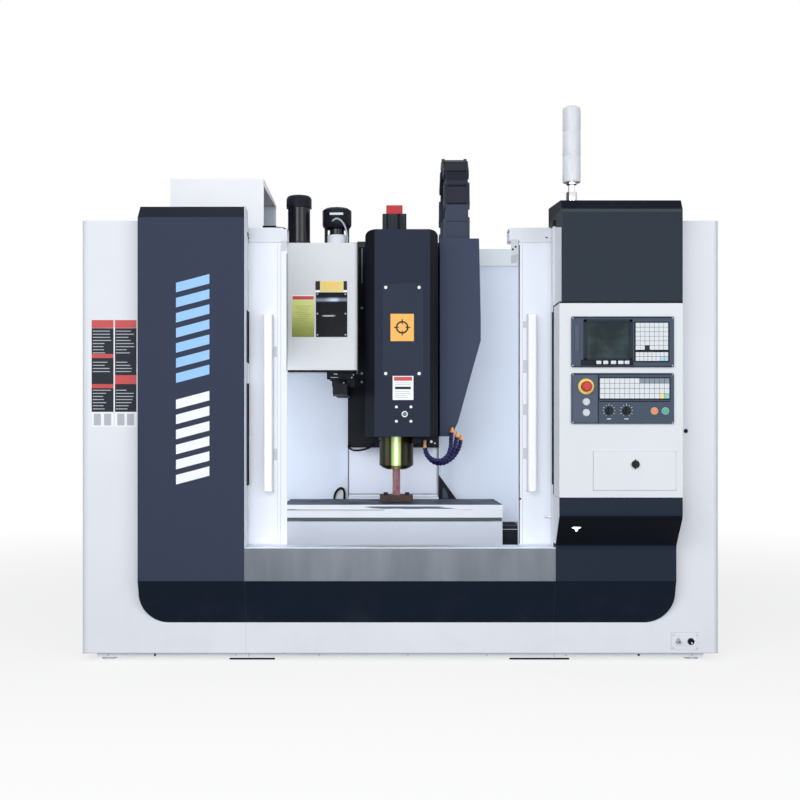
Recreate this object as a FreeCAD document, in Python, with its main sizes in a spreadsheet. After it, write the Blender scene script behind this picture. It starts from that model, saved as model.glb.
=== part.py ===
import FreeCAD, Part
import math
import os
import operator
import Sketcher
from types import SimpleNamespace

# A vertical machining centre with its enclosure, in millimetres.
# X runs to the right, Y to the back and Z up; the origin is on the floor,
# under the middle of the whole machine.

Vector = FreeCAD.Vector
doc = FreeCAD.newDocument("machining_centre")
sheet = doc.addObject("Spreadsheet::Sheet", "sizes")
nodes = []


# ---------------------------------------------------------------- sizes

class Size:
    """A length that knows its value and the sheet expression behind it."""

    def __init__(self, value, text):
        self.value = float(value)
        self.text = text

    def joined(self, sign, action, other, swapped=False):
        first, second = (as_size(other), self) if swapped else (self, as_size(other))
        text = f"({first.text} {sign} {second.text})"
        return Size(action(first.value, second.value), text)

    def __add__(self, other):
        return self.joined("+", operator.add, other)

    def __radd__(self, other):
        return self.joined("+", operator.add, other, True)

    def __sub__(self, other):
        return self.joined("-", operator.sub, other)

    def __rsub__(self, other):
        return self.joined("-", operator.sub, other, True)

    def __mul__(self, other):
        return self.joined("*", operator.mul, other)

    def __rmul__(self, other):
        return self.joined("*", operator.mul, other, True)

    def __truediv__(self, other):
        return self.joined("/", operator.truediv, other)

    def __neg__(self):
        return 0 - self


def as_size(value):
    return value if isinstance(value, Size) else Size(value, repr(round(value, 6)))


def group(name):
    """The sheet's sizes whose alias starts with a group's name."""
    start = name + "_"
    return SimpleNamespace(**{alias[len(start):]: Size(value, f"sizes.{alias}")
                              for alias, value in SIZES.items() if alias.startswith(start)})


# ---------------------------------------------------------------- forms

TURNS = {
    "x": FreeCAD.Rotation(Vector(0, 0, 1), Vector(1, 0, 0)),
    "y": FreeCAD.Rotation(Vector(0, 0, 1), Vector(0, 1, 0)),
    "-y": FreeCAD.Rotation(Vector(0, 0, 1), Vector(0, -1, 0)),
    "z": FreeCAD.Rotation(),
}


def bind(thing, field, size):
    thing.setExpression(field, as_size(size).text)


def place(thing, at, axis="z"):
    """Point the thing's own Z along an axis and bind its place to the sizes."""
    thing.Placement = FreeCAD.Placement(Vector(0, 0, 0), TURNS[axis])
    for letter, size in zip("xyz", at):
        bind(thing, f"Placement.Base.{letter}", size)


def block(name, low, high):
    """A block between its low and its high corner."""
    solid = doc.addObject("Part::Box", name)
    for field, start, end in zip(("Length", "Width", "Height"), low, high):
        bind(solid, field, as_size(end) - start)
    place(solid, low)
    return solid


def rod(name, at, radius, length, axis="z"):
    solid = doc.addObject("Part::Cylinder", name)
    bind(solid, "Radius", radius)
    bind(solid, "Height", length)
    place(solid, at, axis)
    return solid


def joined(name, kind, shapes):
    solid = doc.addObject(kind, name)
    solid.Shapes = list(shapes)
    return solid


def fused(name, *shapes):
    return joined(name, "Part::MultiFuse", shapes)


def common(name, *shapes):
    return joined(name, "Part::MultiCommon", shapes)


def cut(name, base, *tools):
    solid = doc.addObject("Part::Cut", name)
    solid.Base = base
    solid.Tool = tools[0] if len(tools) == 1 else fused(name + "_tools", *tools)
    return solid


def origin_plane(body, role):
    return next(item for item in body.Origin.OriginFeatures if item.Role == role)


def outline(body, plane, points):
    """A closed sketch of straight lines, each corner bound to its sizes."""
    sketch = body.newObject("Sketcher::SketchObject", body.Name + "_outline")
    sketch.AttachmentSupport = [(origin_plane(body, plane + "_Plane"), "")]
    sketch.MapMode = "FlatFace"
    corners = [(as_size(point[0]), as_size(point[1])) for point in points]
    spots = [Vector(across.value, up.value, 0) for across, up in corners]
    count = len(spots)
    for index, spot in enumerate(spots):
        sketch.addGeometry(Part.LineSegment(spot, spots[(index + 1) % count]), False)
    for index in range(count):
        following = (index + 1) % count
        sketch.addConstraint(Sketcher.Constraint("Coincident", index, 2, following, 1))
    for index, (across, up) in enumerate(corners):
        for kind, size in (("DistanceX", across), ("DistanceY", up)):
            rule = Sketcher.Constraint(kind, -1, 1, index, 1, size.value)
            number = sketch.addConstraint(rule)
            bind(sketch, f"Constraints[{number}]", size)
    return sketch


def rounded(body, feature, plane, points):
    """Round the long edges at every corner that was given a radius."""
    axes = {"XZ": ("x", "z", "y"), "YZ": ("y", "z", "x"), "XY": ("x", "y", "z")}[plane]
    radii = {}
    for point in points:
        if len(point) > 2:
            radii.setdefault(as_size(point[2]).text, []).append(point)
    for number, group in enumerate(radii.values()):
        doc.recompute()
        found = []
        for index, edge in enumerate(feature.Shape.Edges):
            ends = [vertex.Point for vertex in edge.Vertexes]
            for point in group:
                spot = (as_size(point[0]).value, as_size(point[1]).value)
                gaps = [math.hypot(getattr(end, axes[0]) - spot[0],
                                   getattr(end, axes[1]) - spot[1]) for end in ends]
                if len(ends) == 2 and max(gaps) < 0.001:
                    found.append(f"Edge{index + 1}")
        rounding = body.newObject("PartDesign::Fillet", f"{body.Name}_rounding_{number}")
        rounding.Base = (feature, found)
        bind(rounding, "Radius", group[0][2])
        body.Tip = rounding
        feature = rounding


def prism(name, plane, points, start, end):
    """A profile drawn in a plane of the frame and carried from start to end."""
    body = doc.addObject("PartDesign::Body", name)
    sketch = outline(body, plane, points)
    bind(sketch, "AttachmentOffset.Base.z", -as_size(end) if plane == "XZ" else start)
    pad = body.newObject("PartDesign::Pad", name + "_pad")
    pad.Profile = sketch
    bind(pad, "Length", as_size(end) - start)
    body.Tip = pad
    rounded(body, pad, plane, points)
    return body


def turned(name, points, at, axis="z"):
    """A profile of (radius, height) corners turned about an axis at a place."""
    body = doc.addObject("PartDesign::Body", name)
    sketch = outline(body, "XZ", points)
    turn = body.newObject("PartDesign::Revolution", name + "_turn")
    turn.Profile = sketch
    turn.ReferenceAxis = (sketch, ["V_Axis"])
    turn.Angle = 360
    body.Tip = turn
    place(body, at, axis)
    return body


def eased(radius, height, size):
    """Corners that round the top outer edge of a turned profile in a few steps."""
    corners = []
    for step in range(DOME_STEPS + 1):
        turn = math.pi / 2 * step / DOME_STEPS
        corners.append((radius - size + size * round(math.cos(turn), 6),
                        height - size + size * round(math.sin(turn), 6)))
    return corners


def span(middle, sign, near, far):
    """The lower and the higher of two places on one side of a middle."""
    return sorted((middle + sign * near, middle + sign * far), key=lambda size: size.value)


def rectangle(low, high, radius=None, rounds=(0, 1, 2, 3)):
    """The four corners between two opposite ones, some of them rounded."""
    corners = [(low[0], low[1]), (high[0], low[1]), (high[0], high[1]), (low[0], high[1])]
    if radius is None:
        return corners
    return [(*corner, radius) if index in rounds else corner
            for index, corner in enumerate(corners)]


def node(label, solid):
    """Name a finished piece."""
    solid.Label = label
    nodes.append(solid)
    return solid


# ---------------------------------------------------------------- driving sizes

SIZES = {
    "fit_gap": 0.3,
    "fit_slide": 0.05,
    "fit_door": 5.0,

    "hall_half": 1250.0,          # half the width over the enclosure
    "hall_front": -900.0,         # front face of the white panels
    "hall_frame": 60.0,           # depth of the front frames
    "hall_wall": 30.0,            # thickness of the side walls
    "hall_low": 28.0,             # underside of the panels
    "hall_top": 1725.0,           # top of the panels
    "hall_back": 560.0,           # rear end of the side walls
    "hall_strip": 149.0,          # where the dark cladding starts above the white strip
    "hall_round": 20.0,           # rounding of the outer upright edges

    "clad_left": -1018.0,         # outer edge of the dark cladding on the left
    "clad_inner": -605.0,         # inner edge of the left module
    "clad_proud": 60.0,           # how far the cladding stands in front of the panels
    "clad_fold": 319.0,           # height of the fold above the slanted foot
    "clad_shoulder": 1726.0,      # height where the top facet starts
    "clad_crest": 1778.0,         # top of the top facet
    "clad_lip": 8.0,              # flat along the crest
    "clad_corner": 112.0,         # radius of the lower outer corners

    "sill_top": 448.0,
    "sill_sheet": 7.0,

    "desk_left": 600.0,           # left side of the control column
    "desk_right": 1067.0,         # right side
    "desk_proud": 155.0,          # how far it stands in front of the panels
    "desk_low": 648.0,            # underside of the white face
    "desk_high": 1389.0,          # where the dark head starts
    "desk_bend": 570.0,           # where the dark foot starts to draw in
    "desk_ankle": 457.0,          # where it ends
    "desk_brow": 1740.0,          # where the head's top facet starts
    "desk_crown": 1779.0,         # front edge of the roof
    "desk_roof": 1807.0,          # rear edge of the roof
    "desk_depth": 340.0,          # depth of the roof
    "desk_facet": 27.0,           # depth of the head's top facet
    "desk_sweep": 55.0,           # radius of both bends of the foot
    "desk_head_in": 8.0,          # how far the head stands in on the left

    "unit_left": 644.0,           # left edge of both control units
    "unit_wide": 388.0,
    "unit_proud": 8.0,            # how far both units stand out
    "unit_screen": 1141.0,        # underside of the screen unit
    "unit_panel": 927.0,          # underside of the operator panel
    "unit_tall": 192.0,
    "unit_round": 6.0,
    "unit_recess": 3.0,
    "unit_screen_left": 58.0,     # display window, from the unit's left edge
    "unit_screen_right": 218.0,
    "unit_screen_low": 34.0,      # and from its underside
    "unit_screen_high": 168.0,

    "press_stop": 699.0,          # emergency stop, across
    "press_level": 1068.0,        # and up
    "press_cap": 19.5,            # radius of its mushroom cap
    "press_dome": 15.0,           # thickness of the cap
    "press_under": 2.0,           # slope of its underside
    "press_brow": 10.5,           # height where its top bevel starts
    "press_crown": 14.6,          # radius of its flat top
    "press_neck": 10.0,           # visible length of its stem
    "press_stem": 11.0,           # radius of its stem
    "press_ring": 30.0,           # radius of the yellow ring
    "press_plate": 4.0,           # thickness of the ring
    "press_hole": 7.5,           # depth of the button holes
    "press_seat": 4.0,            # how deep a button sits in its hole at rest
    "press_button": 12.0,         # radius of the small buttons
    "press_stand": 6.0,           # how far a small button stands out
    "press_knob": 15.0,           # radius of the turning knobs
    "press_knob_tall": 20.0,
    "press_power_across": 1.0,    # power buttons, from the stop
    "press_on_down": 58.0,
    "press_off_down": 99.0,
    "press_feed_across": 87.0,    # knobs and cycle buttons, from the stop
    "press_speed_across": 153.0,
    "press_knobs_down": 91.0,
    "press_start_across": 259.0,
    "press_hold_across": 300.0,
    "press_cycle_down": 93.0,
    "press_skirt": 6.0,           # full height of a knob's skirt
    "press_skirt_top": 8.0,
    "press_skirt_bevel": 3.0,
    "press_bar": 3.3,             # half the width of the bar across a knob
    "press_bar_short": 3.0,
    "press_travel": 5.0,          # how far the stop goes in

    "store_left": 729.0,
    "store_right": 1040.0,
    "store_low": 676.0,
    "store_high": 822.0,
    "store_rim": 8.0,             # how much the flap overlaps the opening
    "store_depth": 130.0,          # depth of the compartment
    "store_flap": 3.0,            # thickness of the flap
    "store_lock": 887.0,          # lock, across
    "store_lock_up": 774.0,       # and up
    "store_barrel": 15.0,         # radius of the lock knob
    "store_grip": 14.0,           # length of the lock knob
    "store_lock_plate": 7.0,
    "store_lock_bar": 4.5,
    "store_lock_half": 13.5,

    "door_edge": 473.0,           # half the free width between the open doors
    "door_wide": 600.0,
    "door_thick": 40.0,
    "door_low": 446.0,
    "door_high": 1650.0,
    "door_seal": 23.0,            # closing strip on the left door
    "door_seal_thick": 10.0,
    "door_stile": 130.0,          # frame beside the window, at the closing edge
    "door_far_stile": 45.0,       # frame at the far edge
    "door_pane_low": 760.0,
    "door_pane_high": 1560.0,
    "door_rebate": 15.0,          # step that the pane lies in
    "door_pane": 6.0,             # thickness of the pane
    "door_rebate_depth": 17.0,
    "door_corner": 25.0,          # radius of the window's corners
    "door_grip_near": 506.0,      # handle, nearest to the middle
    "door_grip_far": 540.0,
    "door_grip_low": 661.0,
    "door_grip_high": 1361.0,
    "door_grip_depth": 36.0,
    "door_grip_round": 7.0,

    "rail_far": 1200.0,
    "rail_left_end": 449.0,
    "rail_right_end": 434.0,
    "rail_low": 1656.0,
    "rail_high": 1708.0,
    "rail_depth": 90.0,
    "rail_sheet": 4.0,
    "rail_bar": 16.0,             # thickness of the rail
    "rail_bar_low": 1664.0,
    "rail_bar_high": 1694.0,
    "rail_shoe": 130.0,           # length of the door's carriage
    "rail_shoe_thick": 45.0,
    "rail_shoe_high": 1698.0,

    "base_half": 1215.0,
    "base_low": 60.0,
    "base_rim": 400.0,            # trough height at the side walls
    "base_trough": 300.0,         # trough floor
    "base_trough_near": 360.0,      # inner edge of the trough
    "base_trough_far": 520.0,
    "base_deck": 330.0,           # top of the middle block
    "base_way_in": 215.0,         # guide ways, measured from the spindle axis
    "base_way_out": 295.0,
    "base_way": 15.0,             # height of the guide ways
    "base_way_front": -450.0,
    "base_way_back": 470.0,
    "base_foot": 45.0,            # radius of the levelling pads
    "base_foot_across": 900.0,
    "base_foot_inset": 150.0,
    "base_plinth_in": 57.0,       # how far the plinth stands back at the sides
    "base_plinth_back": 15.0,
    "base_plinth_low": 10.0,
    "base_plinth_wide": 80.0,
    "base_plinth_foot": 28.0,     # radius of the plinth's pads

    "axis_across": -4.0,          # spindle axis
    "axis_back": 56.0,

    "column_front": 505.0,
    "column_depth": 400.0,
    "column_half": 228.0,
    "column_foot_half": 340.0,
    "column_foot_low": 520.0,
    "column_foot_high": 680.0,
    "column_top": 1870.0,
    "column_middle": -8.0,
    "column_way_in": 130.0,
    "column_way_out": 190.0,
    "column_way": 35.0,
    "column_way_low": 560.0,
    "column_channel": 98.0,       # half the width of the drive channel
    "column_channel_depth": 150.0,
    "column_channel_low": 700.0,
    "column_wall_gap": 4.0,       # between the column and the rear walls
    "column_channel_top": 30.0,

    "rear_low": 435.0,
    "rear_high": 1834.0,
    "rear_beam": 86.0,            # height of the beam along the top
    "rear_beam_out": 20.0,
    "rear_thick": 25.0,
    "rear_cabinet": 420.0,        # inner side of the electrical cabinet
    "rear_leaf": 15.0,            # thickness of the cabinet's door
    "rear_leaf_margin": 28.0,
    "rear_leaf_round": 14.0,
    "rear_pull": 25.0,            # how far its handle stands out
    "rear_pull_wide": 26.0,
    "rear_pull_tall": 160.0,
    "rear_pull_in": 60.0,         # from the door's edge
    "rear_louvre": 260.0,         # length of a louvre
    "rear_louvre_tall": 9.0,
    "rear_louvre_pitch": 24.0,
    "rear_louvre_up": 210.0,      # from the cabinet's underside
    "rear_louvre_depth": 8.0,

    "saddle_half": 430.0,
    "saddle_front": -130.0,
    "saddle_back": 245.0,
    "saddle_deck": 490.0,
    "saddle_way": 15.0,
    "saddle_way_wide": 60.0,
    "saddle_way_inset": 30.0,
    "saddle_trough_half": 49.0,
    "saddle_trough": 430.0,
    "saddle_apron": 159.0,
    "saddle_apron_low": 350.0,
    "saddle_apron_high": 487.0,
    "saddle_sheet": 3.0,

    "table_left": -522.0,
    "table_long": 1000.0,
    "table_front": -159.0,
    "table_depth": 430.0,
    "table_top": 565.0,
    "table_slot": 18.0,           # T-slot mouth
    "table_slot_depth": 20.0,
    "table_tee": 30.0,            # T-slot foot
    "table_tee_high": 12.0,
    "table_pitch": 125.0,
    "table_prop": 157.0,          # block under the spindle, across
    "table_prop_depth": 80.0,
    "table_prop_high": 32.0,
    "table_bar": 18.0,            # radius of the bar on it
    "table_bar_gap": 0.5,

    "head_slide_left": -243.0,
    "head_slide_right": 214.0,
    "head_slide_front": 350.0,
    "head_slide_back": 450.0,
    "head_slide_low": 818.0,
    "head_slide_high": 1822.0,
    "head_shoe_low": 880.0,
    "head_shoe_gap": 420.0,       # spacing of the two shoes
    "head_shoe_tall": 100.0,
    "head_face": -134.0,          # front of the spindle cover
    "head_face_left": -106.0,
    "head_face_right": 148.0,
    "head_side_left": -150.0,
    "head_side_right": 188.0,
    "head_side_front": -70.0,
    "head_cover_low": 875.0,
    "head_cover_high": 1827.0,
    "head_crown": 25.0,
    "head_release": 138.0,        # tool release button, from the face's left edge
    "head_release_up": 978.0,
    "head_release_cap": 14.0,

    "nose_low": 719.0,            # spindle face
    "nose_shell_low": 722.0,
    "nose_cone": 739.0,
    "nose_shoulder": 853.0,
    "nose_radius": 80.5,
    "nose_collar": 75.0,
    "nose_mouth": 52.0,
    "nose_spindle": 44.0,
    "nose_taper": 22.2,           # radius of the tool taper at its mouth
    "nose_taper_end": 12.5,
    "nose_taper_depth": 66.0,
    "nose_bore_depth": 90.0,

    "duct_left": 203.0,
    "duct_right": 389.0,
    "duct_wide": 397.0,
    "duct_front": 50.0,
    "duct_high": 1815.0,
    "duct_widest": 1433.0,
    "duct_waist": 1330.0,
    "duct_knee": 360.0,
    "duct_knee_up": 1200.0,
    "duct_ankle": 289.0,
    "duct_ankle_up": 943.0,
    "duct_toe": 256.0,

    "chain_left": 224.0,
    "chain_wide": 122.0,
    "chain_pitch": 84.0,
    "chain_thick": 50.0,
    "chain_front": 90.0,          # middle of the front leg
    "chain_split": 6.0,           # gap between two links' lids
    "chain_plate": 7.0,           # thickness of the side plates
    "chain_lid": 5.0,             # thickness of the lids
    "chain_lid_in": 2.0,          # how far the lids lie inside the plates' edges
    "chain_waist": 3.0,           # how much the plates narrow at their middle

    "cover_left": -241.0,
    "cover_right": 215.0,
    "cover_low": 565.0,
    "cover_high": 812.0,
    "cover_sheet": 3.0,
    "cover_gap": 0.5,
    "cover_upper": 870.0,
    "cover_lip": 11.0,
    "cover_lip_out": 15.0,

    "changer_left": -520.0,
    "changer_right": -186.0,
    "changer_front": -120.0,
    "changer_back": 199.0,
    "changer_low": 1180.0,
    "changer_high": 1766.0,
    "changer_arm_left": -500.0,   # bracket to the rear wall
    "changer_arm_right": -275.0,
    "changer_arm_low": 1260.0,
    "changer_arm_high": 1500.0,
    "changer_link": -980.0,       # far end of the beam behind the magazine
    "changer_link_depth": 60.0,
    "changer_pivot": -262.0,
    "changer_swing_low": 1066.0,
    "changer_swing": 45.0,
    "changer_swing_half": 32.0,
    "changer_hub": 43.0,
    "changer_jaw": 30.0,
    "changer_jaw_bore": 22.0,
    "changer_shaft": 35.0,
    "changer_round": 18.0,

    "drive_left": -466.0,
    "drive_radius": 53.0,
    "drive_cap": 60.0,
    "drive_neck": 1965.0,
    "drive_high": 2018.0,
    "drive_fan": -286.0,
    "drive_fan_radius": 38.0,
    "drive_fan_cap": 70.0,
    "drive_fan_low": 1861.0,
    "drive_fan_high": 1955.0,
    "drive_motor": 66.0,
    "drive_motor_high": 2018.0,
    "drive_motor_cap": 42.0,
    "drive_motor_top": 2065.0,
    "drive_motor_depth": 560.0,
    "drive_dome": 20.0,           # rounding of the motor caps
    "drive_flange": 59.0,         # radius of the drive motor's flange
    "drive_flange_tall": 12.0,
    "drive_base": 48.0,           # radius of the fan motor's foot
    "drive_base_tall": 34.0,
    "drive_cowl_rim": 16.0,       # tapered lower rim of the fan cowl
    "drive_cowl_in": 12.0,
    "drive_round": 12.0,          # upright edges of the feed motor
    "drive_cap_round": 8.0,
    "drive_plate": 14.0,          # thickness of the feed motor's flange
    "drive_plate_in": 4.0,        # how far its body stands in from the flange
    "drive_fin": 5.0,             # width and depth of the grooves between the fins
    "drive_fin_pitch": 20.0,
    "drive_fin_margin": 16.0,

    "magazine_left": -1020.0,
    "magazine_right": -602.0,
    "magazine_front": -260.0,
    "magazine_back": 350.0,
    "magazine_low": 1180.0,
    "magazine_high": 2030.0,
    "magazine_sheet": 4.0,
    "magazine_disc_left": -790.0,
    "magazine_disc": 24.0,
    "magazine_disc_up": 1590.0,
    "magazine_radius": 210.0,
    "magazine_pot": 31.0,
    "magazine_brim": 8.0,         # the disc's edge outside the pots
    "magazine_pot_long": 110.0,
    "magazine_shaft": 30.0,

    "lamp_across": 655.0,
    "lamp_back": -1000.0,
    "lamp_pole": 17.0,
    "lamp_foot": 1854.0,
    "lamp_top": 2142.0,
    "lamp_radius": 34.5,
    "lamp_band": 94.0,
    "lamp_groove": 2.0,
    "lamp_seat": 20.0,            # how deep the pole stands in the roof
    "lamp_slit": 3.0,             # height of the grooves
    "lamp_dome": 10.0,
    "lamp_flange": 36.0,
    "lamp_flange_tall": 6.0,

    "hose_radius": 8.5,
    "hose_cup": 11.0,             # widest radius of a hose's joints
    "hose_joint": 17.0,           # spacing of the joints
    "hose_lap": 2.0,              # how deep a joint sits in the next
    "hose_nozzle": 4.0,           # radius of the nozzle's mouth
    "hose_nozzle_long": 21.0,
    "hose_left": 124.0,
    "hose_front": -20.0,
    "hose_pitch": 24.0,
    "hose_block": 40.0,
    "hose_low": 757.0,
    "hose_margin": 7.0,           # of the block round the hoses
    "hose_reach": 130.0,          # across from block to nozzle
    "hose_step": 25.0,            # how much further each next one reaches
    "hose_rise": 905.0,           # height of the first nozzle
    "hose_drop": 18.0,            # how much lower each next one is
}
for number, (alias, value) in enumerate(SIZES.items(), 1):
    sheet.set(f"A{number}", alias)
    sheet.set(f"B{number}", repr(value))
    sheet.setAlias(f"B{number}", alias)

fit = group("fit")
hall = group("hall")
clad = group("clad")
sill = group("sill")
desk = group("desk")
unit = group("unit")
press = group("press")
store = group("store")
door = group("door")
rail = group("rail")
base = group("base")
axis = group("axis")
column = group("column")
rear = group("rear")
saddle = group("saddle")
table = group("table")
head = group("head")
nose = group("nose")
duct = group("duct")
chain = group("chain")
cover = group("cover")
changer = group("changer")
drive = group("drive")
store_disc = group("magazine")
lamp = group("lamp")
hose = group("hose")

# counts and shares
CHAIN_OVER = 9       # links over the loop
CHAIN_FRONT = 2      # and in the straight legs
CHAIN_REAR = 4
POTS = 16            # in the tool magazine
FINS = 5             # grooves on each side of the feed motor
DOME_STEPS = 3       # flats across a rounded cap's edge
LOUVRES = 9          # in each of the cabinet door's two fields
CHAIN_FLATS = 8      # flats round the end of a link's side plate
CHAIN_WAIST = 0.25   # where a side plate's waist ends, as a share of the pitch
JAW_MOUTH = 0.8      # half of a jaw's mouth as a share of its bore's radius
HOSE_FLATS = 12      # flats round a joint
HOSE_BEND = 0.36     # radius of a hose's half loop as a share of its reach

# places that several pieces share
panel_back = hall.front + hall.frame
desk_front = hall.front - desk.proud
unit_front = desk_front - unit.proud
stop_front = unit_front - press.plate - press.neck - press.dome
door_front = panel_back + fit.door
door_back = door_front + door.thick
rail_front = panel_back
rail_back = rail_front + rail.depth
column_back = column.front + column.depth
deck_top = base.deck + base.way
saddle_low = deck_top + fit.slide
table_low = saddle.deck + saddle.way + fit.slide
cabinet_back = -stop_front


# ---------------------------------------------------------------- front of the enclosure

def front_panels():
    left = rectangle((-hall.half, hall.front), (clad.inner, panel_back), hall.round, (0,))
    node("left_front_panel", prism("left_front", "XY", left, hall.low, hall.top))
    lower = block("lower_front", (clad.inner, hall.front, hall.low),
                  (desk.left, panel_back, sill.top - sill.sheet))
    node("lower_front_panel", lower)
    right = rectangle((desk.left, hall.front), (hall.half, panel_back), hall.round, (1,))
    node("right_front_panel", prism("right_front", "XY", right, hall.low, hall.top))


def dark_cladding():
    proud = hall.front - clad.proud
    side = [
        (hall.front, hall.strip),
        (proud, clad.fold),
        (proud, clad.shoulder),
        (hall.front - clad.lip, clad.crest),
        (hall.front, clad.crest),
    ]
    slab = prism("slab_side", "YZ", side, clad.left, clad.inner)
    face = rectangle((clad.left, hall.strip), (clad.inner, clad.crest), clad.corner, (0,))
    outer = prism("slab_face", "XZ", face, proud, hall.front)
    node("left_dark_panel", common("left_slab", slab, outer))
    wedge = [(hall.front, hall.strip), (proud, clad.fold), (hall.front, clad.fold)]
    node("lower_dark_band", prism("band", "YZ", wedge, clad.inner, desk.left))
    ledge = sill.top - sill.sheet
    trim = [
        (proud, clad.fold),
        (proud, sill.top),
        (panel_back, sill.top),
        (panel_back, ledge),
        (hall.front, ledge),
        (hall.front, clad.fold),
    ]
    node("sill", prism("sill_trim", "YZ", trim, clad.inner, desk.left))


# ---------------------------------------------------------------- control column

def control_column():
    body = block("column_case", (desk.left, desk_front, desk.low),
                 (desk.right, hall.front, desk.high))
    rim = store.rim
    inside = block("compartment", (store.left + rim, desk_front - 1, store.low + rim),
                   (store.right - rim, desk_front + store.depth, store.high - rim))
    node("control_column", cut("column_shell", body, inside))
    proud = hall.front - clad.proud
    roof_back = desk_front + desk.depth
    side = [
        (desk_front, desk.high),
        (desk_front, desk.brow),
        (desk_front + desk.facet, desk.crown),
        (roof_back, desk.roof),
        (roof_back, hall.top),
        (hall.front, hall.top),
        (hall.front, desk.high),
    ]
    top = node("control_head_box", prism("head_box", "YZ", side,
                                            desk.left + desk.head_in, desk.right))
    foot = [
        (desk_front, desk.low),
        (desk_front, desk.bend, desk.sweep),
        (proud, desk.ankle, desk.sweep),
        (proud, clad.fold),
        (hall.front, hall.strip),
        (hall.front, desk.low),
    ]
    case = prism("foot_side", "YZ", foot, desk.left, desk.right)
    face = rectangle((desk.left, hall.strip), (desk.right, desk.low), clad.corner, (1,))
    outer = prism("foot_face", "XZ", face, desk_front, hall.front)
    node("control_foot_box", common("foot_box", case, outer))
    return top


def stud_hole(name, across, up, radius, front, deep):
    """A blind hole that a button stands in, drilled from a face."""
    return rod(name, (across, front - 1, up), radius + fit.gap, deep + 1, "y")


def push_button(label, across, up):
    body = rod(label + "_cap", (across, unit_front + press.seat, up), press.button,
               press.seat + press.stand, "-y")
    return node(label, body)


def knob(label, across, up):
    """A turning knob: a round skirt with a grip bar across it."""
    skirt = [
        (0, 0),
        (press.knob, 0),
        (press.knob, press.skirt),
        (press.knob - press.skirt_bevel, press.skirt_top),
        (0, press.skirt_top),
    ]
    seat = (across, unit_front - fit.gap, up)
    dial = turned(label + "_skirt", skirt, seat, "-y")
    grip = block(label + "_grip",
                 (across - press.bar, unit_front - press.knob_tall, up - press.knob),
                 (across + press.bar, unit_front - press.skirt,
                  up + press.knob - press.bar_short))
    return node(label, fused(label + "_body", dial, grip))


def control_units():
    right = unit.left + unit.wide
    plate = rectangle((unit.left, unit.screen), (right, unit.screen + unit.tall), unit.round)
    frame = prism("screen_frame", "XZ", plate, unit_front, desk_front)
    recess = block("screen_recess",
                   (unit.left + unit.screen_left, unit_front - 1, unit.screen + unit.screen_low),
                   (unit.left + unit.screen_right, unit_front + unit.recess,
                    unit.screen + unit.screen_high))
    node("screen_unit", cut("screen_case", frame, recess))

    plate = rectangle((unit.left, unit.panel), (right, unit.panel + unit.tall), unit.round)
    board = prism("panel_frame", "XZ", plate, unit_front, desk_front)
    ring = rod("stop_ring", (press.stop, unit_front, press.level), press.ring, press.plate, "-y")
    holes = [stud_hole("stop_hole", press.stop, press.level, press.stem,
                       unit_front - press.plate, press.seat + press.travel + fit.gap)]
    places = {
        "power_on_button": (press.stop + press.power_across, press.level - press.on_down),
        "power_off_button": (press.stop + press.power_across, press.level - press.off_down),
        "start_button": (press.stop + press.start_across, press.level - press.cycle_down),
        "hold_button": (press.stop + press.hold_across, press.level - press.cycle_down),
    }
    for label, (across, up) in places.items():
        push_button(label, across, up)
        holes.append(stud_hole(label + "_hole", across, up, press.button, unit_front,
                               press.hole))
    case = fused("panel_case", board, ring)
    node("operator_panel", cut("panel_drilled", case, *holes))
    knob("feed_knob", press.stop + press.feed_across, press.level - press.knobs_down)
    knob("speed_knob", press.stop + press.speed_across, press.level - press.knobs_down)
    reach = press.seat + press.neck
    mushroom = [
        (0, 0),
        (press.stem, 0),
        (press.stem, reach),
        (press.cap, reach + press.under),
        (press.cap, reach + press.brow),
        (press.crown, reach + press.dome),
        (0, reach + press.dome),
    ]
    seat = (press.stop, unit_front - press.plate + press.seat, press.level)
    node("stop_button", turned("stop_mushroom", mushroom, seat, "-y"))


def storage():
    outer = rectangle((store.left, store.low), (store.right, store.high), unit.round)
    flap = prism("flap_plate", "XZ", outer, desk_front - store.flap, desk_front)
    node("storage_flap", flap)
    barrel = rod("lock_barrel", (store.lock, desk_front - store.flap, store.lock_up),
                 store.barrel, store.lock_plate, "-y")
    grip = block("lock_grip",
                 (store.lock - store.lock_bar, desk_front - store.flap - store.grip,
                  store.lock_up - store.lock_half),
                 (store.lock + store.lock_bar, desk_front - store.flap,
                  store.lock_up + store.lock_half))
    node("flap_lock", fused("lock_knob", barrel, grip))


def signal_lamp(roof):
    pole = rod("lamp_pole", (lamp.across, lamp.back, desk.crown - lamp.seat), lamp.pole,
               lamp.foot - desk.crown + lamp.seat)
    flange = rod("lamp_flange", (lamp.across, lamp.back, desk.crown), lamp.flange,
                 desk.roof - desk.crown + lamp.flange_tall)
    stand = cut("lamp_stand", fused("lamp_post", pole, flange), roof)
    tall = lamp.top - lamp.foot
    small = lamp.radius - lamp.groove
    profile = [(0, 0)]
    for index in range(3):
        low = lamp.band * index
        profile.append((lamp.radius, low))
        if index < 2:
            profile += [(lamp.radius, low + lamp.band - lamp.slit),
                        (small, low + lamp.band - lamp.slit), (small, low + lamp.band)]
    profile += [*eased(lamp.radius, tall, lamp.dome), (0, tall)]
    tower = turned("lamp_tower", profile, (lamp.across, lamp.back, lamp.foot))
    node("signal_lamp", fused("lamp_whole", stand, tower))


# ---------------------------------------------------------------- doors

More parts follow.
